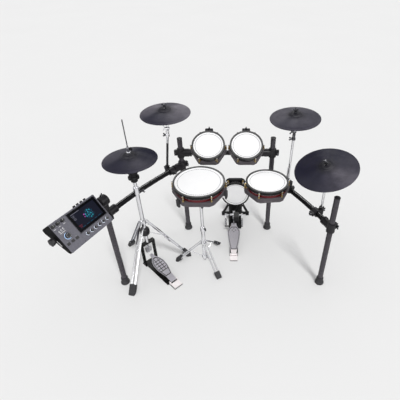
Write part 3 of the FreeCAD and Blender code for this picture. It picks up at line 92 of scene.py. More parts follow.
# ------------------------------------------------------------------ materials
class Mat:
    def __init__(self, name):
        self.m = bpy.data.materials.new(name)
        self.m.use_nodes = True
        self.nt = self.m.node_tree
        self.b = self.nt.nodes["Principled BSDF"]
        self.tc = None

    def node(self, kind, **kw):
        n = self.nt.nodes.new(kind)
        for k, v in kw.items():
            setattr(n, k, v)
        return n

    def link(self, a, b):
        self.nt.links.new(a, b)

    def co(self):
        if self.tc is None:
            self.tc = self.node("ShaderNodeTexCoord")
        return self.tc.outputs["Object"]

    def noise(self, scale, detail=4.0, rough=0.55, stretch=None, dist=0.0):
        n = self.node("ShaderNodeTexNoise")
        n.inputs["Scale"].default_value = scale
        n.inputs["Detail"].default_value = detail
        n.inputs["Roughness"].default_value = rough
        n.inputs["Distortion"].default_value = dist
        if stretch:
            mp = self.node("ShaderNodeMapping")
            mp.inputs["Scale"].default_value = stretch
            self.link(self.co(), mp.inputs["Vector"])
            self.link(mp.outputs["Vector"], n.inputs["Vector"])
        else:
            self.link(self.co(), n.inputs["Vector"])
        return n.outputs["Fac"]

    def ramp(self, fac, stops, interp="LINEAR"):
        r = self.node("ShaderNodeValToRGB")
        r.color_ramp.interpolation = interp
        el = r.color_ramp.elements
        while len(el) < len(stops):
            el.new(0.5)
        for e, (p, c) in zip(el, stops):
            e.position = p
            e.color = (c[0], c[1], c[2], 1.0)
        self.link(fac, r.inputs["Fac"])
        return r.outputs["Color"]

    def remap(self, fac, lo, hi, a=0.0, b=1.0):
        r = self.node("ShaderNodeMapRange")
        r.inputs["From Min"].default_value = a
        r.inputs["From Max"].default_value = b
        r.inputs["To Min"].default_value = lo
        r.inputs["To Max"].default_value = hi
        self.link(fac, r.inputs["Value"])
        return r.outputs["Result"]

    def math(self, op, a, b=None):
        n = self.node("ShaderNodeMath", operation=op)
        for i, s in enumerate((a, b)):
            if s is None:
                continue
            if isinstance(s, (int, float)):
                n.inputs[i].default_value = s
            else:
                self.link(s, n.inputs[i])
        return n.outputs[0]

    def mix(self, fac, a, b):
        n = self.node("ShaderNodeMix", data_type="RGBA")
        self.link(fac, n.inputs["Factor"])
        for s, v in ((n.inputs[6], a), (n.inputs[7], b)):
            if isinstance(v, tuple):
                s.default_value = (v[0], v[1], v[2], 1.0)
            else:
                self.link(v, s)
        return n.outputs[2]

    def bump(self, height, strength, dist, below=None):
        n = self.node("ShaderNodeBump")
        n.inputs["Strength"].default_value = strength
        n.inputs["Distance"].default_value = dist
        self.link(height, n.inputs["Height"])
        if below is not None:
            self.link(below, n.inputs["Normal"])
        return n.outputs["Normal"]

    def put(self, **kw):
        names = {"base": "Base Color", "rough": "Roughness", "metal": "Metallic", "spec": "Specular IOR Level", "coat": "Coat Weight",
                 "coatr": "Coat Roughness", "sheen": "Sheen Weight", "sheenr": "Sheen Roughness", "normal": "Normal", "aniso": "Anisotropic",
                 "tint": "Specular Tint", "emit": "Emission Color", "power": "Emission Strength", "alpha": "Alpha", "tangent": "Tangent"}
        for k, v in kw.items():
            s = self.b.inputs[names[k]]
            if isinstance(v, bpy.types.NodeSocket):
                self.link(v, s)
            elif isinstance(v, tuple):
                s.default_value = (v[0], v[1], v[2], 1.0)
            else:
                s.default_value = v
        return self


def finish(name, c0, c1, r0, r1, metal=0.0, scale=14.0, bump=0.1, bscale=900.0, bdist=0.0002, stretch=None, **kw):
    """two-tone mottled surface with uneven gloss and a fine texture"""
    m = Mat(name)
    col = m.ramp(m.noise(scale, 5.0, 0.6, stretch), [(0.32, c0), (0.68, c1)])
    rg = m.remap(m.noise(scale * 2.3, 4.0, 0.6, stretch), r0, r1, 0.3, 0.7)
    nm = m.bump(m.noise(bscale, 2.0, 0.5), bump, bdist)
    m.put(base=col, rough=rg, metal=metal, normal=nm, **kw)
    return m.m


def grey(v, t=(1, 1, 1)):
    return (v * t[0], v * t[1], v * t[2])


COOL = (0.98, 0.96, 1.06)
# the posts' black paint is lifted to dark grey as painted highlight for the light they catch; the rails keep the
# near-black of the same paint
POST_BLACK_PAINTED_LIT = finish("satin_black_tube_painted_lit", (0.034, 0.0300, 0.037), (0.054, 0.048, 0.058), 0.20, 0.32, scale=6, bump=0.10, bscale=1300, bdist=0.0001, spec=0.45)
RAIL = finish("gloss_black_tube", (0.0030, 0.0029, 0.0034), (0.0055, 0.0052, 0.0060), 0.10, 0.18, scale=6, bump=0.06, bscale=1300, bdist=0.0001, spec=0.30)
CLAMP = finish("moulded_clamp", (0.010, 0.0092, 0.0112), (0.018, 0.0164, 0.0195), 0.26, 0.40, scale=20, bump=0.25, bscale=1700, bdist=0.00018, spec=0.30)
CHROME = finish("polished_chrome", (0.88, 0.88, 0.90), (0.95, 0.95, 0.96), 0.03, 0.09, metal=1.0, scale=18, bump=0.03, bscale=120, bdist=0.0002, tint=(0.30, 0.31, 0.35))
DARKCHROME = finish("black_nickel", (0.10, 0.10, 0.11), (0.17, 0.17, 0.18), 0.14, 0.26, metal=1.0, scale=30, bump=0.05, bscale=400)
STEEL = finish("plated_steel", (0.42, 0.42, 0.44), (0.60, 0.60, 0.61), 0.20, 0.34, metal=1.0, scale=40, bump=0.06, bscale=700, stretch=(1, 1, 6))
BRASS = finish("antique_brass", (0.30, 0.21, 0.085), (0.52, 0.39, 0.18), 0.24, 0.40, metal=1.0, scale=55, bump=0.12, bscale=600)
FOOT = finish("foot_rubber", grey(0.020, COOL), grey(0.036, COOL), 0.55, 0.75, scale=24, bump=0.3, bscale=800, bdist=0.0003)
# one hoop rubber in two tones: a grey top as painted highlight where overhead light falls, and a near-black side as
# painted shade
HOOP_LIT_TOP = finish("hoop_rubber", grey(0.062), grey(0.084), 0.34, 0.46, scale=16, bump=0.16, bscale=1500, bdist=0.00012, spec=0.35)
HOOP_SHADED_SIDE = finish("hoop_rubber_side_painted_shade", grey(0.004), grey(0.008), 0.30, 0.42, scale=16, bump=0.16, bscale=1500, bdist=0.00012, spec=0.22)
PLASTIC = finish("grained_plastic", grey(0.006, COOL), grey(0.011, COOL), 0.34, 0.50, scale=22, bump=0.35, bscale=2200, bdist=0.00014, spec=0.22)
CASE = finish("case_plastic", grey(0.006, COOL), grey(0.011, COOL), 0.50, 0.62, scale=22, bump=0.35, bscale=2200, bdist=0.00014, spec=0.07)
KNOB = finish("soft_touch_knob", grey(0.010), grey(0.018), 0.40, 0.58, scale=60, bump=0.2, bscale=2600, bdist=0.0001)
BLACKSTEEL = finish("black_steel", grey(0.005), grey(0.010), 0.20, 0.34, scale=20, bump=0.12, bscale=900, bdist=0.00015, spec=0.24)
TRAY = finish("tray_plastic", (0.064, 0.055, 0.063), (0.084, 0.073, 0.082), 0.42, 0.58, scale=18, bump=0.3, bscale=1900, bdist=0.00015)
TRAYDARK = finish("tray_plastic_dark", grey(0.005, COOL), grey(0.010, COOL), 0.40, 0.55, scale=18, bump=0.3, bscale=1900, bdist=0.00015, spec=0.12)
FELT = finish("wool_felt", grey(0.07), grey(0.15), 0.85, 0.98, scale=220, bump=0.9, bscale=1500, bdist=0.0006, sheen=0.4, sheenr=0.5)
BEATFELT = finish("beater_felt", grey(0.010), grey(0.030), 0.85, 0.98, scale=220, bump=0.9, bscale=1500, bdist=0.0006, sheen=0.3, sheenr=0.5)
FOAM = finish("black_foam", grey(0.012), grey(0.03), 0.9, 1.0, scale=300, bump=0.9, bscale=900, bdist=0.0008)
PANEL = finish("panel_metal", (0.092, 0.090, 0.110), (0.120, 0.118, 0.141), 0.36, 0.48, metal=0.35, scale=90, bump=0.10, bscale=2600, bdist=0.00006, stretch=(1, 1, 1))
ALLOY = finish("brushed_alloy", (0.52, 0.50, 0.54), (0.70, 0.68, 0.72), 0.28, 0.42, metal=0.85, scale=60, bump=0.12, bscale=500, stretch=(9, 1, 1))
LILAC = finish("pedal_plate", (0.56, 0.54, 0.59), (0.72, 0.70, 0.75), 0.30, 0.44, metal=0.75, scale=50, bump=0.12, bscale=500, stretch=(1, 8, 1))
CHAMPAGNE = finish("heel_plate", (0.86, 0.80, 0.80), (0.94, 0.89, 0.89), 0.28, 0.40, metal=0.30, scale=45, bump=0.10, bscale=500, stretch=(8, 1, 1))
PAINTLINE = finish("black_enamel", grey(0.008), grey(0.016), 0.30, 0.45, scale=40, bump=0.1, bscale=900)
KEYRUB = finish("key_rubber", grey(0.016, COOL), grey(0.026, COOL), 0.45, 0.60, scale=60, bump=0.25, bscale=2200, bdist=0.0001)


def head_material(name, radius, tint=(1.0, 1.0, 1.0)):
    """white woven mesh with a thin broken grey ring near the rim; radius in metres"""
    m = Mat(name)
    sx = m.node("ShaderNodeSeparateXYZ")
    m.link(m.co(), sx.inputs[0])
    x, y = sx.outputs[0], sx.outputs[1]
    # weave: two sets of threads at right angles
    pitch = 2 * pi / 0.0011
    wa = m.math("ABSOLUTE", m.math("SINE", m.math("MULTIPLY", m.math("ADD", x, y), pitch * 0.5)))
    wb = m.math("ABSOLUTE", m.math("SINE", m.math("MULTIPLY", m.math("SUBTRACT", x, y), pitch * 0.5)))
    weave = m.math("MAXIMUM", wa, wb)
    r = m.math("SQRT", m.math("ADD", m.math("MULTIPLY", x, x), m.math("MULTIPLY", y, y)))
    rn = m.math("DIVIDE", r, radius)
    ring = m.math("LESS_THAN", m.math("ABSOLUTE", m.math("SUBTRACT", rn, 0.885)), 0.0020 / radius)
    ang = m.math("ARCTAN2", y, x)
    dash = m.math("GREATER_THAN", m.math("SINE", m.math("MULTIPLY", ang, 72.0)), -0.60)
    line = m.math("MULTIPLY", m.math("MULTIPLY", ring, dash), 0.85)
    wear = m.ramp(m.noise(16, 5.0, 0.6), [(0.35, (0.93 * tint[0], 0.93 * tint[1], 0.935 * tint[2])), (0.65, (0.955 * tint[0], 0.955 * tint[1], 0.955 * tint[2]))])
    thread = m.mix(m.remap(weave, 0.0, 0.05, 0.55, 1.0), wear, (0.90, 0.90, 0.91))
    col = m.mix(line, thread, (0.12, 0.12, 0.13))
    rg = m.remap(m.noise(40), 0.62, 0.78, 0.3, 0.7)
    m.put(base=col, rough=rg, normal=m.bump(weave, 0.10, 0.0001), sheen=0.15, sheenr=0.5, spec=0.3)
    return m.m


def cymbal_material(name, sector_highlight_tones):
    """matte rubber turned with fine rings; broad sectors of the face carry painted highlight and painted shade in place
    of the turned face's reflections, the sector levels run round from local +x; the bell is darker
    """
    m = Mat(name)
    sx = m.node("ShaderNodeSeparateXYZ")
    m.link(m.co(), sx.inputs[0])
    x, y = sx.outputs[0], sx.outputs[1]
    r = m.math("SQRT", m.math("ADD", m.math("MULTIPLY", x, x), m.math("MULTIPLY", y, y)))
    jit = m.math("MULTIPLY", m.noise(9, 3.0), 0.0008)
    rings = m.math("SINE", m.math("MULTIPLY", m.math("ADD", r, jit), 2 * pi / 0.0021))
    fine = m.math("SINE", m.math("MULTIPLY", r, 2 * pi / 0.00083))
    h = m.math("ADD", m.math("MULTIPLY", rings, 0.6), m.math("MULTIPLY", fine, 0.35))
    bell = m.remap(r, 0.9, 0.0, 0.030, 0.085)
    ang = m.math("ARCTAN2", y, x)
    t = m.math("FRACT", m.math("ADD", m.math("DIVIDE", m.math("ADD", ang, m.math("MULTIPLY", m.math("SUBTRACT", m.noise(7.0, 3.0), 0.5), 0.5)), 2 * pi), 1.0))
    # painted highlight and painted shade: each of the eight sectors takes a grey level, lighter where the turned face
    # would catch light, darker where it would not
    cs = [(k / 8.0, (g * 1.0, g * 0.93, g * 1.0 + 0.015)) for k, g in enumerate(list(sector_highlight_tones) + [sector_highlight_tones[0]])]
    col = m.ramp(t, cs, "EASE")
    fleck = m.remap(m.noise(22, 5.0, 0.65), 0.0, 0.5, 0.35, 0.75)
    col = m.mix(fleck, col, (0.009, 0.0088, 0.0135))
    col = m.mix(bell, col, (0.0060, 0.0056, 0.0090))
    rg = m.remap(m.noise(30, 4.0), 0.44, 0.58, 0.3, 0.7)
    nm = m.bump(m.noise(1500, 2.0), 0.12, 0.0002, m.bump(h, 0.30, 0.00016))
    tg = m.node("ShaderNodeTangent", direction_type="RADIAL", axis="Z")
    m.put(base=col, rough=rg, normal=nm, spec=0.28, aniso=0.8, tangent=tg.outputs["Tangent"])
    return m.m


def shell_material(name, top):
    """gloss lacquer that runs from black under the hoop to the colour top at the tray, with fine flake"""
    m = Mat(name)
    sx = m.node("ShaderNodeSeparateXYZ")
    m.link(m.co(), sx.inputs[0])
    z = m.math("ADD", sx.outputs[2], m.math("MULTIPLY", m.math("SUBTRACT", m.noise(60, 3.0), 0.5), 0.004))
    t = m.remap(z, 1.0, 0.0, -0.045, -0.016)
    col = m.ramp(t, [(0.0, (0.004, 0.003, 0.003)), (0.22, (0.016, 0.004, 0.005)), (0.42, grey(0.8, top)), (1.0, top)])
    fl = m.remap(m.noise(5200, 1.0), 0.16, 0.34, 0.45, 0.75)
    m.put(base=col, rough=fl, metal=0.25, coat=0.45, coatr=0.05, spec=0.15, normal=m.bump(m.noise(5200, 1.0), 0.06, 0.00005))
    return m.m


def two_tone_rod():
    """chrome above, black below, for the stepped arm tube"""
    m = Mat("two_tone_rod")
    sx = m.node("ShaderNodeSeparateXYZ")
    m.link(m.co(), sx.inputs[0])
    t = m.remap(sx.outputs[2], 0.0, 1.0, 0.872, 0.876)
    nz = m.noise(30, 4.0)
    bright = m.ramp(nz, [(0.3, (0.78, 0.79, 0.81)), (0.7, (0.88, 0.88, 0.9))])
    dark = m.ramp(nz, [(0.3, (0.015, 0.015, 0.017)), (0.7, (0.03, 0.03, 0.034))])
    m.put(base=m.mix(t, dark, bright), rough=m.remap(t, 0.32, 0.08), metal=m.remap(t, 0.2, 1.0), normal=m.bump(m.noise(500), 0.03, 0.0001))
    return m.m


def light_material(name, col, power):
    """lit print: glow with a slight unevenness"""
    m = Mat(name)
    c = m.ramp(m.noise(400, 2.0), [(0.3, grey(1.0, (col[0] * 0.85, col[1] * 0.85, col[2] * 0.85))), (0.7, col)])
    m.put(base=c, emit=c, power=power, rough=m.remap(m.noise(300), 0.3, 0.5), spec=0.08)
    return m.m


def ink(name, c0, c1):
    return finish(name, c0, c1, 0.4, 0.6, scale=300, bump=0.05, bscale=2000, bdist=0.00005)


SHELL = shell_material("red_black_lacquer", (0.13, 0.005, 0.010))
SHELLBLACK = shell_material("black_lacquer", (0.012, 0.011, 0.013))
ROD2 = two_tone_rod()
INK_WHITE = ink("white_print", grey(0.62), grey(0.78))
INK_GREY = ink("grey_print", grey(0.22), grey(0.32))


# ------------------------------------------------------------------ mesh building (local millimetres)
class Mesher:
    def __init__(self):
        self.v, self.f, self.mi = [], [], []

    def add(self, verts, faces, mi=0, M=None):
        o = len(self.v)
        for p in verts:
            p = Vector(p)
            self.v.append(M @ p if M is not None else p)
        for fc in faces:
            self.f.append([i + o for i in fc])
            self.mi.append(mi)
        return self

    def lathe(self, prof, seg=96, M=None, mi=0, pick=None):
        """closed (r, z) outline turned about z"""
        verts, faces, rings, cols = [], [], [], []
        for r, z in prof:
            if r < 1e-6:
                rings.append([len(verts)])
                verts.append((0, 0, z))
            else:
                base = len(verts)
                for k in range(seg):
                    a = 2 * pi * k / seg
                    verts.append((r * cos(a), r * sin(a), z))
                rings.append(list(range(base, base + seg)))
        n = len(prof)
        for i in range(n):
            a, b = rings[i], rings[(i + 1) % n]
            if len(a) == 1 and len(b) == 1:
                continue
            m_ = pick(prof[i], prof[(i + 1) % n]) if pick else mi
            for k in range(seg):
                k2 = (k + 1) % seg
                if len(a) == 1:
                    faces.append((a[0], b[k2], b[k]))
                elif len(b) == 1:
                    faces.append((a[k], a[k2], b[0]))
                else:
                    faces.append((a[k], a[k2], b[k2], b[k]))
                cols.append(m_)
        o = len(self.v)
        for p in verts:
            p = Vector(p)
            self.v.append(M @ p if M is not None else p)
        for fc, c in zip(faces, cols):
            self.f.append([i + o for i in reversed(fc)])
            self.mi.append(c)
        return self

    def prism(self, pts, h, M=None, mi=0, ch=0.0, mi_side=None):
        """outline drawn out along z from 0 to h, with chamfered rims"""
        n = len(pts)
        area = sum(pts[i][0] * pts[(i + 1) % n][1] - pts[(i + 1) % n][0] * pts[i][1] for i in range(n))
        if area < 0:
            pts = list(reversed(pts))

        def inset(d):
            out = []
            for i in range(n):
                a, b, c = Vector(pts[i - 1]), Vector(pts[i]), Vector(pts[(i + 1) % n])
                e0, e1 = (b - a).normalized(), (c - b).normalized()
                n0, n1 = Vector((-e0.y, e0.x)), Vector((-e1.y, e1.x))
                k = n0 + n1
                k = k / max(k.dot(n0), 0.3) if k.length > 1e-6 else n0
                out.append(b + k * d)
            return out

        if ch > 0:
            lay = [(inset(ch), 0.0), (inset(0), ch), (inset(0), h - ch), (inset(ch), h)]
        else:
            lay = [(inset(0), 0.0), (inset(0), h)]
        verts, faces, cols = [], [], []
        for poly, z in lay:
            for p in poly:
                verts.append((p[0], p[1], z))
        for j in range(len(lay) - 1):
            for i in range(n):
                i2 = (i + 1) % n
                faces.append((j * n + i, j * n + i2, (j + 1) * n + i2, (j + 1) * n + i))
                cols.append(mi if mi_side is None else mi_side)
        faces.append(tuple(reversed(range(n))))
        faces.append(tuple((len(lay) - 1) * n + i for i in range(n)))
        cols += [mi, mi]
        o = len(self.v)
        for p in verts:
            p = Vector(p)
            self.v.append(M @ p if M is not None else p)
        for fc, c in zip(faces, cols):
            self.f.append([i + o for i in fc])
            self.mi.append(c)
        return self

    def box(self, lx, ly, lz, M=None, mi=0, ch=0.6, c=(0, 0, 0)):
        T = Matrix.Translation(Vector(c))
        return self.prism([(-lx / 2, -ly / 2), (lx / 2, -ly / 2), (lx / 2, ly / 2), (-lx / 2, ly / 2)], lz, (M @ T) if M is not None else T, mi, ch)

    def rod(self, a, b, r, seg=20, mi=0, ch=0.5):
        d = b - a
        return self.lathe([(0, 0), (r - ch, 0), (r, ch), (r, d.length - ch), (r - ch, d.length), (0, d.length)], seg, basis(a, d), mi)

    def sweep(self, pts, r, seg=10, mi=0, M=None):
        """round bar along a line of points"""
        pts = [Vector(p) for p in pts]
        n = len(pts)
        tg = [(pts[min(i + 1, n - 1)] - pts[max(i - 1, 0)]).normalized() for i in range(n)]
        nr = tg[0].orthogonal().normalized()
        verts, faces = [], []
        for i in range(n):
            nr = (nr - tg[i] * nr.dot(tg[i])).normalized()
            bi = tg[i].cross(nr)
            for k in range(seg):
                a = 2 * pi * k / seg
                verts.append(pts[i] + nr * (r * cos(a)) + bi * (r * sin(a)))
        for i in range(n - 1):
            for k in range(seg):
                k2 = (k + 1) % seg
                faces.append((i * seg + k, i * seg + k2, (i + 1) * seg + k2, (i + 1) * seg + k))
        faces.append(tuple(reversed(range(seg))))
        faces.append(tuple((n - 1) * seg + k for k in range(seg)))
        return self.add(verts, faces, mi, M)

    def arc(self, r0, r1, a0, a1, z0, z1, seg=24, M=None, mi=0):
        """flat ring sector with thickness"""
        verts, faces = [], []
        for i in range(seg + 1):
            a = radians(a0 + (a1 - a0) * i / seg)
            for r, z in ((r0, z0), (r1, z0), (r1, z1), (r0, z1)):
                verts.append((r * cos(a), r * sin(a), z))
        for i in range(seg):
            for k in range(4):
                k2 = (k + 1) % 4
                faces.append((i * 4 + k, (i + 1) * 4 + k, (i + 1) * 4 + k2, i * 4 + k2))
        faces.append((0, 1, 2, 3))
        faces.append((seg * 4 + 3, seg * 4 + 2, seg * 4 + 1, seg * 4))
        return self.add(verts, faces, mi, M)

    def obj(self, name, mats, body, matrix=None, slot=None, replaces=(), sharp=32.0, ride=True):
        me = bpy.data.meshes.new(name)
        me.from_pydata([tuple(p * 0.001) for p in self.v], [], self.f)
        for m in (mats if isinstance(mats, (list, tuple)) else [mats]):
            me.materials.append(m)
        me.polygons.foreach_set("material_index", self.mi)
        me.update()
        bm = bmesh.new()
        bm.from_mesh(me)
        bmesh.ops.recalc_face_normals(bm, faces=bm.faces)
        bm.to_mesh(me)
        bm.free()
        me.polygons.foreach_set("use_smooth", [True] * len(me.polygons))
        me.set_sharp_from_angle(angle=radians(sharp))
        o = bpy.data.objects.new(name, me)
        scene.collection.objects.link(o)
        if matrix is not None:
            mm = matrix.copy()
            mm.translation = mm.translation * 0.001
            o.matrix_world = mm
        if ride:
            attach(o, body)
        if replaces:
            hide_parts(*replaces)
        return o


def rounded(pts, seg=5):
    """(r, z, radius) corners to a rounded outline"""
    out = []
    n = len(pts)
    for i in range(n):
        a, b, c = Vector(pts[i - 1][:2]), Vector(pts[i][:2]), Vector(pts[(i + 1) % n][:2])
        rad = pts[i][2] if len(pts[i]) > 2 else 0.0
        if rad <= 0:
            out.append((b.x, b.y))
            continue
        u, v = (a - b), (c - b)
        lu, lv = u.length, v.length
        u.normalize()
        v.normalize()
        ang = u.angle(v)
        d = min(rad / tan(ang / 2), lu * 0.49, lv * 0.49)
        for k in range(seg + 1):
            t = k / seg
            p0, p2 = b + u * d, b + v * d
            q = p0 * (1 - t) ** 2 + b * (2 * t * (1 - t)) + p2 * t ** 2
            out.append((q.x, q.y))
    return out


def smooth_line(pts, sub=6):
    """points along a smooth curve through pts"""
    out = []
    n = len(pts)
    for i in range(n - 1):
        p0, p1, p2, p3 = (Vector(pts[max(i - 1, 0)]), Vector(pts[i]), Vector(pts[i + 1]), Vector(pts[min(i + 2, n - 1)]))
        l01, l12, l23 = max((p1 - p0).length, 1e-3), (p2 - p1).length, max((p3 - p2).length, 1e-3)
        m1 = ((p2 - p1) / l12 if i == 0 else (p2 - p0) / (l01 + l12)) * l12
        m2 = ((p2 - p1) / l12 if i == n - 2 else (p3 - p1) / (l12 + l23)) * l12
        for k in range(sub):
            t = k / sub
            h = (2 * t ** 3 - 3 * t ** 2 + 1, t ** 3 - 2 * t ** 2 + t, -2 * t ** 3 + 3 * t ** 2, t ** 3 - t ** 2)
            q = p1 * h[0] + m1 * h[1] + p2 * h[2] + m2 * h[3]
            out.append((q.x, q.y))
    out.append(tuple(pts[-1]))
    return out


# ------------------------------------------------------------------ painting the CAD nodes
def comps(me):
    """connected solids of a mesh whose faces are split along their edges: id per polygon, low and high corner per id (mm)"""
    co = np.zeros(len(me.vertices) * 3, np.float32)
    me.vertices.foreach_get("co", co)
    co = co.reshape(-1, 3).astype(float) * 1000.0
    _, inv = np.unique(np.round(co * 200).astype(np.int64), axis=0, return_inverse=True)
    inv = inv.reshape(-1)
    par = list(range(int(inv.max()) + 1))

    def find(i):
        while par[i] != i:
            par[i] = par[par[i]]
            i = par[i]
        return i

    pv = [[int(inv[v]) for v in p.vertices] for p in me.polygons]
    for vs in pv:
        a = find(vs[0])
        for v in vs[1:]:
            b = find(v)
            if a != b:
                par[b] = a
    ids = [find(vs[0]) for vs in pv]
    roots = np.array([find(int(i)) for i in inv])
    box = {}
    for r in set(ids):
        q = co[roots == r]
        box[r] = (Vector(q.min(0)), Vector(q.max(0)))
    return ids, box


def paint(node, mats, pick=None):
    """pick(face centre, face normal, low corner, high corner of its solid) gives the material index; millimetres"""
    me = NODE[node].data
    mats = mats if isinstance(mats, (list, tuple)) else [mats]
    me.materials.clear()
    for m in mats:
        me.materials.append(m)
    idx = [0] * len(me.polygons)
    if pick:
        ids, bx = comps(me)
        for i, p in enumerate(me.polygons):
            lo, hi = bx[ids[i]]
            idx[i] = pick(p.center * 1000.0, p.normal, lo, hi)
    me.polygons.foreach_set("material_index", idx)
    me.update()


def mid(lo, hi):
    return (lo + hi) / 2


# rack
paint("rack_posts", POST_BLACK_PAINTED_LIT)
paint("rack_rails", RAIL)
paint("tom_bar", RAIL)
paint("rack_clamps", CLAMP)
paint("rack_feet_and_caps", [FOOT, CLAMP], lambda c, n, lo, hi: 0 if lo.z < 5 else 1)
paint("wing_bolts", [DARKCHROME, CLAMP], lambda c, n, lo, hi: 0)

# cymbal hardware
def pick_tilter(base_n, c0):
    def f(c, n, lo, hi):
        m_ = mid(lo, hi)
        d = (m_ - c0).dot(base_n)
        if d > 47:
            return 2 if (hi - lo).length > 32 else 1      # wing nut / upper felt
        return 1 if (hi - lo).length < 36 else 0           # lower felt / rod
    return f


RN = unit((-0.238, -0.167, 0.957))
for tag, c_, n_ in (("crash_left", CRASH_L, CRASH_LN), ("crash_right", CRASH_R, CRASH_RN), ("ride", RIDE, RN)):
    paint(tag + "_tilter", [DARKCHROME if tag == "crash_right" else CHROME, FELT, DARKCHROME], pick_tilter(unit(n_), P(*c_)))


def pick_arm(c, n, lo, hi):
    m_ = mid(lo, hi)
    long_ = (hi - lo).z > 130
    if long_ and m_.x < -200:
        return 1
    if not long_ and m_.z > 880 and m_.x > 450:
        return 2
    return 0


paint("cymbal_arms", [CHROME, ROD2, DARKCHROME], pick_arm)

# stands
paint("hihat_stand", [CHROME, CLAMP], lambda c, n, lo, hi: 1 if 290 < lo.z < 300 and hi.z < 370 else 0)
paint("snare_stand", [CHROME, BLACKSTEEL], lambda c, n, lo, hi: 1 if lo.z > 630 else 0)
paint("stand_rubbers", FOOT)
paint("hihat_controller", PLASTIC)
paint("hihat_pull_rod", [CHROME, BLACKSTEEL, DARKCHROME, STEEL],
      lambda c, n, lo, hi: (2 if c.z > 400 else 3) if hi.z > 1200 else (1 if (hi - lo).z < 30 else 0))

# pedals
hx = P(*HAT_AXIS)
pe = Vector((cos(radians(-45)), sin(radians(-45)), 0))
ho = hx + pe * 300 + UP * 21
hn = UP * cos(radians(15)) + pe * sin(radians(15))


def pick_hat_board(c, n, lo, hi):
    h = (c - ho).dot(hn)
    if h > 7.15:
        return 1
    if n.dot(hn) > 0.9 and h > 6.5:
        return 0
    return 2


paint("hihat_footboard", [LILAC, PAINTLINE, BLACKSTEEL], pick_hat_board)
HATBOARD = basis(ho, hn, UP * sin(radians(15)) - pe * cos(radians(15)))          # local x up the board, local z out of it
ko = P(PED_X, 1988.0, 20.0)
kn = UP * cos(radians(18)) - Vector((0, 1, 0)) * sin(radians(18))
kf = UP * sin(radians(18)) + Vector((0, 1, 0)) * cos(radians(18))


def pick_kick_board(c, n, lo, hi):
    h = (c - ko).dot(kn)
    if (c - ko).dot(kf) < 43 and h > -1:
        return 3
    if h > 8.15:
        return 1
    if n.dot(kn) > 0.9 and h > 7.5:
        return 0
    return 2


paint("kick_footboard", [ALLOY, PAINTLINE, BLACKSTEEL, CHAMPAGNE], pick_kick_board)
paint("pedal_heel_plates", [CHAMPAGNE, STEEL, CHAMPAGNE], lambda c, n, lo, hi: 1 if (hi - lo).z < 7 else (2 if hi.y < P(0, 1800).y else 0))
paint("hihat_pedal_frame", BLACKSTEEL)
paint("kick_pedal_frame", BLACKSTEEL)
paint("kick_tower", BLACKSTEEL)
bd = Vector((0, sin(radians(-57)), cos(radians(-57))))
hd = Vector((0, cos(radians(88)), sin(radians(88))))
ax0 = P(PED_X, AXLE_Y, AXLE_Z)
bc = ax0 + Vector((21, 0, 0)) + bd * 165


def pick_beater(c, n, lo, hi):
    m_ = mid(lo, hi)
    w = (hi - lo).x
    if w > 100:
        return 0 if abs(c.x - ax0.x) > 31 else 4
    if w < 12:
        return 1
    return 3 if (m_ - bc).dot(hd) > 10 else 2


paint("kick_beater", [CHROME, CHROME, PLASTIC, BEATFELT, STEEL], pick_beater)

# drum mounts and insides
paint("trigger_sensors", [PLASTIC, FOAM], lambda c, n, lo, hi: 1 if (hi - lo).z > 40 or (hi - lo).y > 50 and (hi - lo).x < 60 else 0)
paint("floor_tom_mount", [CLAMP, STEEL, FOAM], lambda c, n, lo, hi: 1 if (hi - lo).z > 100 else 0)


def pick_tom_hw(c, n, lo, hi):
    d = hi - lo
    m_ = mid(lo, hi)
    if d.x < 11.5 and d.length > 80:
        return 1
    return 0


paint("tom_hardware", [CLAMP, DARKCHROME], pick_tom_hw)

# module
paint("module_housing", [CASE, CLAMP], lambda c, n, lo, hi: 0 if (hi - lo).length > 200 else 1)
paint("module_panel", PANEL)
paint("module_jacks", [PLASTIC, STEEL], lambda c, n, lo, hi: 0)
paint("module_keys", KEYRUB)
for i in range(1, 7):
    paint("dial_%d" % i, KNOB)
for i in range(1, 4):
    paint("volume_knob_%d" % i, KNOB)
paint("module_encoder", KNOB)

# ------------------------------------------------------------------ cymbal pads
def cymbal(tag, body, D, c0, n, node, sector_highlight_tones):
    R = D / 2.0
    top = [(10.3, 43.6), (20, 43.6), (28, 42.6), (34.5, 39.8), (39.5, 35.8), (44, 31.4), (49, 28.3), (56, 26.8), (70, 24.9), (95, 21.0), (120, 16.5),
           (150, 10.1), (R - 14, 5.6), (R - 6, 3.7), (R - 2.4, 2.4), (R - 0.5, 1.0), (R, -0.6)]
    bot = [(R - 0.6, -1.9), (R - 3, -2.3), (R - 10, -2.1), (150, 4.1), (120, 10.5), (95, 14.9), (70, 18.4), (50, 21.3), (41, 26.2), (35, 32.4), (28, 35.9), (20, 36.4), (10.3, 36.4)]
    prof = smooth_line(top, 5) + smooth_line(bot, 4)
    # shallow ring steps: bell seat and the edge of the playing zone
    prof = [(r, z - (0.35 if 51.5 < r < 53.5 and z > 24 else 0.0) - (0.3 if R - 26 < r < R - 24.5 and z > 5 else 0.0)) for r, z in prof]
    m = Mesher().lathe(prof, 192)
    return m.obj(tag, cymbal_material(tag + "_rubber", sector_highlight_tones), body, basis(P(*c0), n, (1, 0, 0)), "cymbal_rubber", (node,), 40)


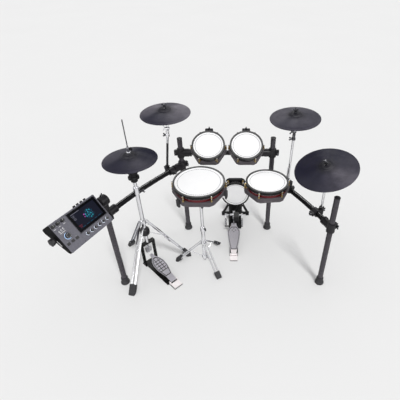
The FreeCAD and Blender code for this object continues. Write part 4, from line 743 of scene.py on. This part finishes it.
# the eight numbers per pad are painted highlight and painted shade levels, one per sector round the pad
cymbal("crash_left_pad", "crash_left_cymbal", 352.0, CRASH_L, CRASH_LN, "crash_left_cymbal", (0.145, 0.170, 0.040, 0.165, 0.105, 0.012, 0.024, 0.085))
cymbal("crash_right_pad", "crash_right_cymbal", 352.0, CRASH_R, CRASH_RN, "crash_right_cymbal", (0.038, 0.062, 0.064, 0.080, 0.080, 0.030, 0.042, 0.060))
cymbal("ride_pad", "ride_cymbal", 412.0, RIDE, RN, "ride_cymbal", (0.026, 0.006, 0.013, 0.016, 0.006, 0.002, 0.044, 0.110))
cymbal("hihat_pad", "hihat_rod", 352.0, (HAT_AXIS[0], HAT_AXIS[1], HAT_Z), Vector((-0.015, 0.01, 1.0)), "hihat_cymbal", (0.002, 0.003, 0.004, 0.044, 0.062, 0.008, 0.016, 0.040))


# ------------------------------------------------------------------ drums
def drum(tag, body, B, hoop, vis, n, phase, nodes, tint=(1, 1, 1)):
    rs = hoop - 9.0
    hr = min(vis + 5, rs)
    depth, zt = 85.0, -45.0
    # head with its collar rolled up against the hoop
    prof = [(0, -1.25), (hr - 0.4, -1.25), (hr - 0.4, -0.12), (vis - 0.4, -0.12), (vis - 0.4, 2.2), (vis - 1.0, 2.6), (vis - 2.0, 2.1), (vis - 3.6, 1.0),
            (vis - 6, 0.3), (vis - 10, 0.02), (vis * 0.8, 0.0), (vis * 0.55, 0.0), (vis * 0.3, 0.0), (vis * 0.1, 0.0), (0, 0.0)]
    Mesher().lathe(prof, 160).obj(tag + "_mesh_head", head_material(tag + "_mesh", vis / 1000.0, tint), body, B, "mesh_head", (nodes["head"],), 50)
    # hoop: rubber cover over a plated rim; the cover's top is painted lighter and its outer side darker, as light and
    # shade
    pr = rounded([(vis, 0.1, 0), (vis, 8.4, 3.4), (hoop, 8.4, 4.2), (hoop, -7.8, 0.6), (hoop - 1.6, -8.1, 0.3), (hoop - 1.6, -10.9, 0.3), (hoop - 0.2, -11.2, 0.4),
                  (hoop - 0.2, -17.9, 1.3), (rs + 0.7, -17.9, 0.4), (rs + 0.7, 0.1, 0)])

    def pk(a, b):
        z = (a[1] + b[1]) / 2
        r = (a[0] + b[0]) / 2
        if z < -15.8 and r > hoop - 3:
            return 1
        if z < -7.6:
            return 2
        # above z 2.6 the top in the painted-highlight grey, below it the side in the painted-shade black
        return 0 if z > 2.6 else 3

    Mesher().lathe(pr, 160, pick=pk).obj(tag + "_hoop_cover", [HOOP_SHADED_SIDE if tag == "kick" else HOOP_LIT_TOP, STEEL, BLACKSTEEL, HOOP_SHADED_SIDE], body, B, "hoop_rubber", (nodes["hoop"],), 30)
    # lacquered band and the tray under it
    m = Mesher()
    m.lathe([(rs - 5.8, zt + 0.1), (rs - 0.6, zt + 0.1), (rs - 0.05, zt + 0.7), (rs - 0.05, -2.2), (rs - 0.6, -1.65), (rs - 5.8, -1.65)], 160, mi=0)
    corners = []
    for i in range(n):
        for da in (-5.0, 5.0):
            a = radians(phase + 360.0 * i / n + da)
            corners.append(Vector(((rs + 20) * cos(a), (rs + 20) * sin(a))))

    def rpoly(a):
        d = Vector((cos(a), sin(a)))
        for i in range(len(corners)):
            p, q = corners[i], corners[(i + 1) % len(corners)]
            e = q - p
            den = d.x * e.y - d.y * e.x
            if abs(den) < 1e-9:
                continue
            t = (p.x * e.y - p.y * e.x) / den
            s = (p.x * d.y - p.y * d.x) / den
            if t > 0 and -1e-9 <= s <= 1 + 1e-9:
                return t
        return rs + 18

    angs = sorted(set([round(2 * pi * k / 180, 6) for k in range(180)] + [round(atan2(c.y, c.x) % (2 * pi), 6) for c in corners]))
    rp = [rpoly(a + 1e-7) for a in angs]
    lay = [("o", 7.0, -85.0), ("o", 4.9, -84.9), ("o", 1.0, -81.4), ("o", 0.1, -79.5), ("o", 0.0, -74.0), ("o", 1.3, -73.0), ("o", 1.3, -58.0), ("o", 0.0, -57.0), ("o", 0.0, -46.6),
           ("o", 1.2, -45.1), ("c", rs - 8, -45.1), ("c", rs - 8, -80.9)]
    verts, faces = [], []
    K = len(angs)
    for kind, val, z in lay:
        for a, rr in zip(angs, rp):
            r = rr - val if kind == "o" else val
            verts.append((r * cos(a), r * sin(a), z))
    for j in range(len(lay) - 1):
        for k in range(K):
            k2 = (k + 1) % K
            faces.append((j * K + k, j * K + k2, (j + 1) * K + k2, (j + 1) * K + k))
    verts += [(0, 0, -85.0), (0, 0, -80.9)]
    for k in range(K):
        k2 = (k + 1) % K
        faces.append((len(lay) * K, k2, k))
        faces.append((len(lay) * K + 1, (len(lay) - 1) * K + k, (len(lay) - 1) * K + k2))
    m.add(verts, faces, 1)
    # screws in the tray's floor
    for i in range(n):
        a = radians(phase + 30 + 360.0 * i / n)
        m.lathe([(0, -84.9), (0, -86.4), (1.5, -86.4), (1.6, -85.8), (2.0, -85.8), (2.2, -86.6), (4.2, -86.3), (4.8, -85.4), (4.8, -84.9)], 16,
                Matrix.Translation((0.82 * rs * cos(a), 0.82 * rs * sin(a), 1.4)), 2)
    m.obj(tag + "_shell_and_tray", [SHELL if tag in ("snare", "floor_tom") else SHELLBLACK, TRAYDARK if tag == "kick" else TRAY, STEEL], body, B, "shell_gloss", (nodes["shell"],), 30)
    # lugs: claw over the hoop, square-headed rod, lug tube with a gusset
    m = Mesher()
    for i in range(n):
        a = phase + 360.0 * i / n
        L = Matrix.Rotation(radians(a), 4, "Z")
        X = L @ Matrix(((1, 0, 0, 0), (0, 0, -1, 0), (0, 1, 0, 0), (0, 0, 0, 1)))      # outline in (radius, height), drawn out sideways
        h = hoop
        claw = [(h + 0.4, -15.8), (h + 1.5, -16.9), (h + 8.2, -16.9), (h + 9.6, -15.4), (h + 9.6, -6.2), (h + 7.8, -4.3), (h + 2.0, -4.3), (h + 0.4, -5.8),
                (h + 0.4, -8.4), (h - 1.0, -8.5), (h - 1.0, -10.4), (h + 0.4, -10.6)]
        m.prism(claw, 13.0, X @ Matrix.Translation((0, 0, -6.5)), 0, 0.9)
        T = L @ Matrix.Translation((h + 6.5, 0, 0))
        m.lathe([(0, zt + 0.15), (6.6, zt + 0.15), (6.9, zt + 0.6), (6.9, zt + 4.6), (6.0, zt + 6.4), (5.0, zt + 9.0), (4.8, -27.5), (5.3, -26.4), (5.3, -24.6), (4.6, -23.6), (0, -23.6)], 24, T, 0)
        rod_ = [(0, -24.0)]
        z = -23.6
        while z < -17.4:
            rod_ += [(2.7, z), (3.1, z + 0.45)]
            z += 0.9
        rod_ += [(3.1, -16.6), (0, -16.6)]
        m.lathe(rod_, 16, T, 1)
        m.lathe([(0, -4.4), (4.9, -4.4), (5.1, -4.0), (5.1, -3.2), (4.7, -2.8), (0, -2.8)], 20, T, 1)
        m.prism([(-2.9, -2.9), (2.9, -2.9), (2.9, 2.9), (-2.9, 2.9)], 4.0, T @ Matrix.Translation((0, 0, -2.9)), 1, 0.7)
        fin = [(rs + 0.6, zt + 0.2), (h + 3, zt + 0.2), (h + 3, -25.0), (h + 1.2, -23.0), (h - 0.6, -25.5), (rs + 0.6, zt + 12)]
        m.prism(fin, 5.0, X @ Matrix.Translation((0, 0, -2.5)), 0, 0.6)
        foot = [(rs + 1, -6.5), (h + 10.5, -5.2), (h + 12.0, -3.0), (h + 12.0, 3.0), (h + 10.5, 5.2), (rs + 1, 6.5)]
        m.prism(foot, 2.4, L @ Matrix.Translation((0, 0, zt + 0.15)), 0, 0.6)
    m.obj(tag + "_lugs", [BRASS, STEEL], body, B, "brass", (nodes["lugs"],), 28)


drum("snare", "root", basis(P(*SNARE_C), SNARE_N, (1, 0, 0)), SNARE_H, SNARE_V, 6, 0.0, dict(head="snare_head", hoop="snare_hoop", shell="snare_shell", lugs="drum_lugs"))
drum("floor_tom", "floor_tom", basis(P(*FLOOR_C), UP, (1, 0, 0)), FLOOR_H, FLOOR_V, 6, 6.0, dict(head="floor_tom_head", hoop="floor_tom_hoop", shell="floor_tom_shell", lugs="floor_tom_lugs"))
for tag, tx in (("tom_left", TOM_X[0]), ("tom_right", TOM_X[1])):
    drum(tag, "tom_bar", basis(P(tx, TOM_Y, TOM_Z), TN, (1, 0, 0)), TOM_H, TOM_V, 6, 0.0, dict(head="tom_heads", hoop="tom_hoops", shell="tom_shells", lugs="tom_lugs"))
drum("kick", "root", basis(P(*KICK_C), Vector((0, -1, 0)), (1, 0, 0)), KICK_H, KICK_V, 6, 0.0, dict(head="kick_head", hoop="kick_hoop", shell="kick_shell", lugs="drum_lugs"))

# ------------------------------------------------------------------ kick pedal springs and chain
for tag, sgn in (("left", -1), ("right", 1)):
    e = P(PED_X + sgn * 70.5, AXLE_Y)
    pts = [e + UP * 61.8, e + UP * 65.0]
    turns, z0, z1, N = 19, 68.0, 141.0, 19 * 14
    for i in range(N + 1):
        t = i / N
        r = 7.6 * min(1.0, t * turns / 0.8, (1 - t) * turns / 0.8)
        a = 2 * pi * turns * t
        pts.append(e + Vector((r * cos(a), r * sin(a), z0 + (z1 - z0) * t)))
    pts += [e + UP * 146.0, e + UP * 150.0, e + UP * 154.0, e + UP * 158.0]
    o = Mesher().sweep(pts, 1.2, 8).obj("kick_spring_" + tag, STEEL, "root", None, "steel", ("kick_chain_and_springs",), 60, ride=False)
    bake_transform(o)
kfv = Vector((0, cos(radians(18)), sin(radians(18))))
toe = ko + kfv * (296.0 - 12) + kn * 8.0
top = Vector((ax0.x, ax0.y - 41.0, AXLE_Z - 4))
bot = toe + UP * 1.2
cd = bot - top
m = Mesher()
NL = 8
pitch = cd.length / NL
C = basis(top, Vector((1, 0, 0)), cd)          # local x down the chain, local z across it
for i in range(NL + 1):
    c = Vector((i * pitch, 0, 0))
    if i < NL:
        outer = i % 2 == 0
        w = pitch
        pl = []
        for k in range(9):
            a = pi / 2 + pi * k / 8
            pl.append((3.1 * cos(a), 3.1 * sin(a)))
        pl.append((w * 0.5, -2.1))
        for k in range(9):
            a = -pi / 2 + pi * k / 8
            pl.append((w + 3.1 * cos(a), 3.1 * sin(a)))
        pl.append((w * 0.5, 2.1))
        for s in (-1, 1):
            off = 4.4 if outer else 3.0
            m.prism(pl, 1.1, C @ Matrix.Translation((c.x, 0, s * off - 0.55)), 0, 0.2)
    m.lathe([(0, -2.4), (2.3, -2.4), (2.5, -2.1), (2.5, 2.1), (2.3, 2.4), (0, 2.4)], 14, C @ Matrix.Translation(c), 1)
    m.lathe([(0, -5.8), (1.0, -5.8), (1.3, -5.4), (1.3, 5.4), (1.0, 5.8), (0, 5.8)], 12, C @ Matrix.Translation(c), 1)
o = m.obj("kick_chain", [DARKCHROME, STEEL], "root", None, "steel", ("kick_chain_and_springs",), 35, ride=False)
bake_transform(o)

# ------------------------------------------------------------------ module face
SC = (-50.0, 152.0, -87.0, 40.0)          # screen: u from, u to, v from, v to


def at(u, v, n=0.0):
    return Matrix.Translation((u, -v, n))


def glass():
    m_ = Mat("screen_cover")
    col = m_.ramp(m_.noise(30, 3.0), [(0.3, (0.0012, 0.0014, 0.0022)), (0.7, (0.0024, 0.0027, 0.0042))])
    m_.put(base=col, rough=m_.remap(m_.noise(50), 0.12, 0.18, 0.3, 0.7), spec=0.02)
    return m_.m


paint("module_screen", glass())
TEAL = light_material("lit_teal", (0.010, 0.15, 0.20), 0.7)
TEALD = light_material("lit_dark_teal", (0.005, 0.040, 0.072), 0.6)
NAVY = light_material("lit_navy", (0.0028, 0.0036, 0.0105), 0.5)
MAGENTA = light_material("lit_magenta", (0.22, 0.045, 0.22), 0.7)
REDL = light_material("lit_red", (0.12, 0.014, 0.024), 0.6)
GREYL = light_material("lit_grey", (0.13, 0.13, 0.16), 0.6)
LED = light_material("lit_white", (0.80, 0.88, 1.0), 1.2)
LEDB = light_material("lit_blue", (0.42, 0.62, 0.92), 1.0)

m = Mesher()
uw, vh = SC[1] - SC[0], SC[3] - SC[2]
uc, vc = (SC[0] + SC[1]) / 2, (SC[2] + SC[3]) / 2
m.box(uw - 34, vh - 28, 0.10, at(uc, vc, -0.16), 0, 0.02)
cu, cv = uc + 14, vc + 2
for i in range(10):
    a0 = i * 36 + 5
    m.arc(19, 26, a0, a0 + 24, -0.055, 0.0, 8, at(cu, cv), 1 if i % 3 else 2)
for i in range(6):
    a = radians(i * 60 + 20)
    m.lathe([(0, 0), (4.6, 0), (4.6, 0.05), (0, 0.05)], 24, at(cu + 11 * cos(a), cv + 11 * sin(a), -0.05), 2 if i % 2 else 1)
m.arc(3.0, 4.4, 0, 360, -0.055, 0.0, 30, at(cu, cv), 1)
m.arc(31, 31.8, 20, 160, -0.055, 0.0, 40, at(cu, cv), 2)
m.arc(31, 31.8, 200, 340, -0.055, 0.0, 40, at(cu, cv), 2)
m.box(9, 7, 0.06, at(cu - 30, cv - 12, -0.055), 3, 0.01)
m.box(6, 6, 0.06, at(cu - 33, cv + 2, -0.055), 3, 0.01)
for k in range(5):
    m.box(18 - 3 * (k % 3), 1.6, 0.06, at(SC[0] + 26, vc - 36 + 6.4 * k, -0.055), 5, 0.01)
for k in range(3):
    m.box(24 - 6 * k, 1.8, 0.06, at(SC[0] + 28, vc + 28 + 6.0 * k, -0.055), 4, 0.01)
m.box(60, 2.2, 0.06, at(SC[0] + 46, SC[2] + 17, -0.055), 5, 0.01)
for k in range(5):
    m.box(18, 3.0, 0.06, at(uc - 58 + 29 * k, SC[3] - 19, -0.055), 2, 0.01)
m.obj("module_screen_picture", [NAVY, TEAL, TEALD, MAGENTA, REDL, GREYL], "module", MODULE, "screen", (), 30)

VOLS = [(-147.0, -77.0), (-116.0, -77.0), (-85.0, -77.0)]
ENC = (-115.0, 8.0)
DIALS = [(-20.0 + 30.5 * i, 65.0) for i in range(6)]
KEYS = [(-141.0, 47.0), (-111.0, 46.5), (-82.0, 47.0)]
m = Mesher()
for u, v in DIALS:
    m.arc(9.5, 10.6, 100, 280, 0.02, 0.5, 30, at(u, v), 0)
m.arc(17.8, 19.6, 95, 290, 0.02, 0.5, 48, at(*ENC), 1)
m.arc(17.8, 19.2, -65, 90, 0.02, 0.45, 30, at(*ENC), 2)
m.obj("module_dial_lights", [LED, LEDB, TEALD], "module", MODULE, "screen", (), 30)

# plain marks round the controls: scale ticks, short bars, no lettering
m = Mesher()
for u, v in VOLS:
    for k in range(11):
        a = radians(-240 + 30 * k)
        T = at(u + 14.0 * cos(a), v - 14.0 * sin(a), 0.02) @ Matrix.Rotation(a, 4, "Z")
        m.box(2.6, 0.7, 0.12, T, 0, 0.03)
    m.box(14, 2.6, 0.12, at(u, v + 20, 0.02), 0, 0.03)
for u, v in KEYS:
    m.box(12, 1.2, 0.12, at(u, v - 12.5, 0.02), 1, 0.03)
for u, v in DIALS:
    m.box(0.9, 4.0, 0.12, at(u, v + 14.5, 0.02), 1, 0.03)
for du, dv in ((-150, -34), (-136, -36), (-122, -38)):
    m.arc(4.0, 6.8, 90, 275, 0.02, 0.14, 20, at(du + 16, dv), 0)
m.box(34, 2.4, 0.12, at(-124, -23, 0.02), 0, 0.03)
m.box(26, 1.6, 0.12, at(-128, -16.5, 0.02), 1, 0.03)
m.obj("module_panel_marks", [INK_WHITE, INK_GREY], "module", MODULE, "panel_metal", (), 30)

# pointers on the turning controls
for i, (u, v) in enumerate(VOLS):
    Mesher().box(1.3, 6.4, 0.35, at(u, v - 4.6, 15.5), 0, 0.1).obj("volume_pointer_%d" % (i + 1), INK_WHITE, "volume_knob_%d" % (i + 1), MODULE, "knob_plastic")
for i, (u, v) in enumerate(DIALS):
    Mesher().box(1.0, 4.6, 0.35, at(u, v - 3.4, 11.5), 0, 0.1).obj("dial_pointer_%d" % (i + 1), INK_WHITE, "dial_%d" % (i + 1), MODULE, "knob_plastic")
# finger dimple rim of the encoder
Mesher().arc(11.6, 12.8, 0, 360, 13.4, 14.9, 60, at(*ENC), 0).obj("encoder_rim", DARKCHROME, "module_encoder", MODULE, "knob_plastic", (), 40)

# screws of the panel, frame of the screen, end slot and vent ribs of the case
m = Mesher()
for u, v in ((-152, -89), (152.5, -91.5), (-152, 89), (152.5, 89), (-60, -91), (-60, 89)):
    m.lathe([(0, 0.05), (0, 0.75), (1.1, 0.75), (1.3, 0.35), (1.5, 0.75), (2.4, 1.05), (3.1, 0.7), (3.3, 0.05)], 18, at(u, v), 0)
fr = [(SC[0] - 2.4, SC[2] - 2.4), (SC[1] + 2.4, SC[2] - 2.4), (SC[1] + 2.4, SC[3] + 2.4), (SC[0] - 2.4, SC[3] + 2.4)]
for (a0, b0), (a1, b1) in zip(fr, fr[1:] + fr[:1]):
    L = hypot(a1 - a0, b1 - b0)
    ang = atan2(-(b1 - b0), a1 - a0)
    m.box(L + 2.0, 2.0, 0.7, at((a0 + a1) / 2, (b0 + b1) / 2, 0.03) @ Matrix.Rotation(ang, 4, "Z"), 1, 0.25)
m.obj("module_panel_trim", [DARKCHROME, PLASTIC], "module", MODULE, "panel_metal", (), 30)
m = Mesher()
E = basis(Vector((-160.1, -17, -42.5)), Vector((-1, 0, 0)), Vector((0, -61, 9)))
m.box(40, 9.0, 0.9, E, 0, 0.3)
m.box(43, 1.4, 1.4, E @ Matrix.Translation((0, 5.4, 0)), 1, 0.3)
m.box(43, 1.4, 1.4, E @ Matrix.Translation((0, -5.4, 0)), 1, 0.3)
m.obj("module_end_slot", [INK_WHITE, PLASTIC], "module", MODULE, "black_plastic", (), 30)

# lengthwise ribs of the hi-hat footboard, between its cross ribs
m = Mesher()
for y_ in (-13.0, 13.0):
    m.box(118, 4.0, 1.7, HATBOARD @ Matrix.Translation((171.0, y_, 7.05)), 0, 0.4)
m.obj("hihat_board_ribs", PAINTLINE, "hihat_footboard", None, "black_steel", (), 30)

# ------------------------------------------------------------------ rivets and nuts of the stands
m = Mesher()


def dome(at_, d, r, mi=0):
    m.lathe([(0, 0), (r, 0), (r, 0.5), (r * 0.86, r * 0.42), (r * 0.5, r * 0.66), (0, r * 0.74)], 18, basis(at_, d), mi)


def leg_rivets(c, angs, reach, r0, z0, z1, half, frac, th):
    for a_, r1 in zip(angs, reach):
        d = Vector((cos(radians(a_)), sin(radians(a_)), 0))
        t = Vector((-d.y, d.x, 0))
        a = P(c[0], c[1], z0) + d * r0
        b = P(c[0], c[1], z1) + d * r1
        for f in (0.035, frac, 0.93):
            q = a + (b - a) * f
            for s in (-1, 1):
                dome(q + t * (s * (half + th)), t * s, 4.2)
        q = a + (b - a) * frac
        m.rod(q - t * (half + 1), q + t * (half + 1), 2.2, 14, 0)


leg_rivets((-243.0, 1956.0), (182.0, 62.0, -58.0), (196.0, 188.0, 204.0), 22.0, 192.0, 26.0, 12.0, 0.52, 6.0)
leg_rivets(HAT_AXIS, (-103.6, 15.2, 136.7), (295.0, 276.0, 261.0), 26.0, 418.0, 42.0, 14.0, 0.44, 7.0)
m.obj("stand_rivets", [STEEL], "root", None, "steel", (), 30)

# ------------------------------------------------------------------ floor, light and camera
fm = Mat("studio_floor")
fm.put(base=fm.ramp(fm.noise(0.6, 2.0), [(0.3, (0.795, 0.795, 0.79)), (0.7, (0.805, 0.805, 0.80))]), rough=0.9, spec=0.1)
me = bpy.data.meshes.new("studio_floor")
S_ = 60.0
me.from_pydata([(-S_, -S_, -0.0008), (S_, -S_, -0.0008), (S_, S_, -0.0008), (-S_, S_, -0.0008)], [], [(0, 1, 2, 3)])
me.materials.append(fm.m)
floor = bpy.data.objects.new("studio_floor", me)
scene.collection.objects.link(floor)
floor.visible_glossy = False

world = bpy.data.worlds.new("studio")
scene.world = world
world.use_nodes = True
wn = world.node_tree
bg = wn.nodes["Background"]


def wnode(kind, op=None, **kw):
    n_ = wn.nodes.new(kind)
    if op:
        n_.operation = op
    for k, v in kw.items():
        if isinstance(v, bpy.types.NodeSocket):
            wn.links.new(v, n_.inputs[int(k[1:])])
        else:
            n_.inputs[int(k[1:])].default_value = v
    return n_


def wramp(fac, stops):
    r_ = wn.nodes.new("ShaderNodeValToRGB")
    el = r_.color_ramp.elements
    while len(el) < len(stops):
        el.new(0.5)
    for e, (p, c) in zip(el, stops):
        e.position = p
        e.color = (c, c, c * 1.01, 1)
    wn.links.new(fac, r_.inputs["Fac"])
    return r_.outputs["Color"]


# sky of a white room: even overhead, and towards the sides and below upright white and black cards that the plated parts mirror
tc = wn.nodes.new("ShaderNodeTexCoord")
sp = wnode("ShaderNodeSeparateXYZ", i0=tc.outputs["Generated"])
above = wramp(wnode("ShaderNodeMapRange", i0=sp.outputs[2], i1=0.0, i2=1.0).outputs[0], [(0.0, 0.62), (0.14, 0.62), (0.45, 0.74), (1.0, 0.95)])
flat = wnode("ShaderNodeMath", "SQRT", i0=wnode("ShaderNodeMath", "ADD", i0=wnode("ShaderNodeMath", "MULTIPLY", i0=sp.outputs[0], i1=sp.outputs[0]).outputs[0],
             i1=wnode("ShaderNodeMath", "MULTIPLY", i0=sp.outputs[1], i1=sp.outputs[1]).outputs[0]).outputs[0]).outputs[0]
turn = wnode("ShaderNodeMath", "DIVIDE", i0=sp.outputs[1], i1=wnode("ShaderNodeMath", "MAXIMUM", i0=flat, i1=0.001).outputs[0]).outputs[0]
below = wramp(wnode("ShaderNodeMapRange", i0=turn, i1=-1.0, i2=1.0).outputs[0],
              [(0.0, 1.0), (0.40, 1.0), (0.52, 0.75), (0.58, 0.05), (0.74, 0.04), (0.84, 0.70), (1.0, 0.90)])
half = wnode("ShaderNodeMapRange", i0=sp.outputs[2], i1=-0.06, i2=0.06).outputs[0]
mx = wn.nodes.new("ShaderNodeMix")
mx.data_type = "RGBA"
wn.links.new(half, mx.inputs["Factor"])
wn.links.new(below, mx.inputs[6])
wn.links.new(above, mx.inputs[7])
wn.links.new(mx.outputs[2], bg.inputs["Color"])
bg.inputs["Strength"].default_value = 0.77


def lamp(name, kind, loc, aim, **kw):
    d = bpy.data.lights.new(name, kind)
    for k, v in kw.items():
        setattr(d, k, v)
    o_ = bpy.data.objects.new(name, d)
    scene.collection.objects.link(o_)
    o_.location = loc
    o_.rotation_mode = "QUATERNION"
    o_.rotation_quaternion = (Vector(aim) - Vector(loc)).to_track_quat("-Z", "Y")
    return o_


ctr = Vector((-0.05, 0.1, 0.5))
key = lamp("key", "SUN", ctr + Vector((0.42 * cos(radians(57)), -0.9075 * cos(radians(57)), sin(radians(57)))) * 5.0, ctr, energy=1.75, angle=radians(12))
# only the standing hardware throws the key's shadow
bl = bpy.data.collections.new("key_blockers")
for n_ in ("rack_posts", "rack_feet_and_caps", "hihat_stand", "stand_rubbers", "kick_tower", "kick_pedal_frame"):
    bl.objects.link(NODE[n_])
key.light_linking.blocker_collection = bl
for tag, x_ in (("left_strip", -2900), ("right_strip", 2600)):
    st = lamp(tag, "AREA", P(x_, 1450, 2300) * 0.001, ctr, energy=26.0, shape="RECTANGLE", size=0.7, size_y=2.6)
    st.visible_diffuse = False
st = lamp("back_strip", "AREA", P(0, 4300, 3000) * 0.001, ctr, energy=22.0, shape="RECTANGLE", size=3.0, size_y=0.5)
st.visible_diffuse = False

# narrow strip high at the back that draws a bright line along the black tubes
rs_ = lamp("tube_strip", "AREA", P(-100, 4400, 3300) * 0.001, ctr, energy=75.0, shape="RECTANGLE", size=4.5, size_y=0.35)
rs_.visible_diffuse = False
rt = bpy.data.collections.new("tube_strip_receivers")
for n_ in ("rack_rails", "tom_bar"):
    rt.objects.link(NODE[n_])
rs_.light_linking.receiver_collection = rt
# broad white card behind the camera, mirrored by the plated stands and arms alone
card = lamp("front_card", "AREA", P(-300, -1700, 1500) * 0.001, P(-300, 2000, 500) * 0.001, energy=62.0, shape="RECTANGLE", size=6.5, size_y=2.6)
card.visible_diffuse = False
rc = bpy.data.collections.new("card_receivers")
for n_ in ("hihat_stand", "snare_stand", "hihat_pull_rod", "cymbal_arms", "crash_left_tilter", "ride_tilter"):
    rc.objects.link(NODE[n_])
card.light_linking.receiver_collection = rc
# soft panel over the floor tom, for its white head alone
hp = lamp("head_panel", "AREA", P(233.6, 2000, 1900) * 0.001, P(*FLOOR_C) * 0.001, energy=4.5, shape="RECTANGLE", size=0.9, size_y=0.9)
rh = bpy.data.collections.new("head_panel_receivers")
rh.objects.link(bpy.data.objects["floor_tom_mesh_head"])
hp.light_linking.receiver_collection = rh

cam =bpy.data.cameras.new("camera")
cam.lens, cam.sensor_width = 31.05, 36.0
cam.shift_x, cam.shift_y = -0.0875, 0.0
cam.clip_start, cam.clip_end = 0.05, 200.0
co = bpy.data.objects.new("camera", cam)
scene.collection.objects.link(co)
co.location = P(0, 0, 2050) * 0.001
co.rotation_euler = (radians(90.0 - 36.6), 0, 0)
scene.camera = co
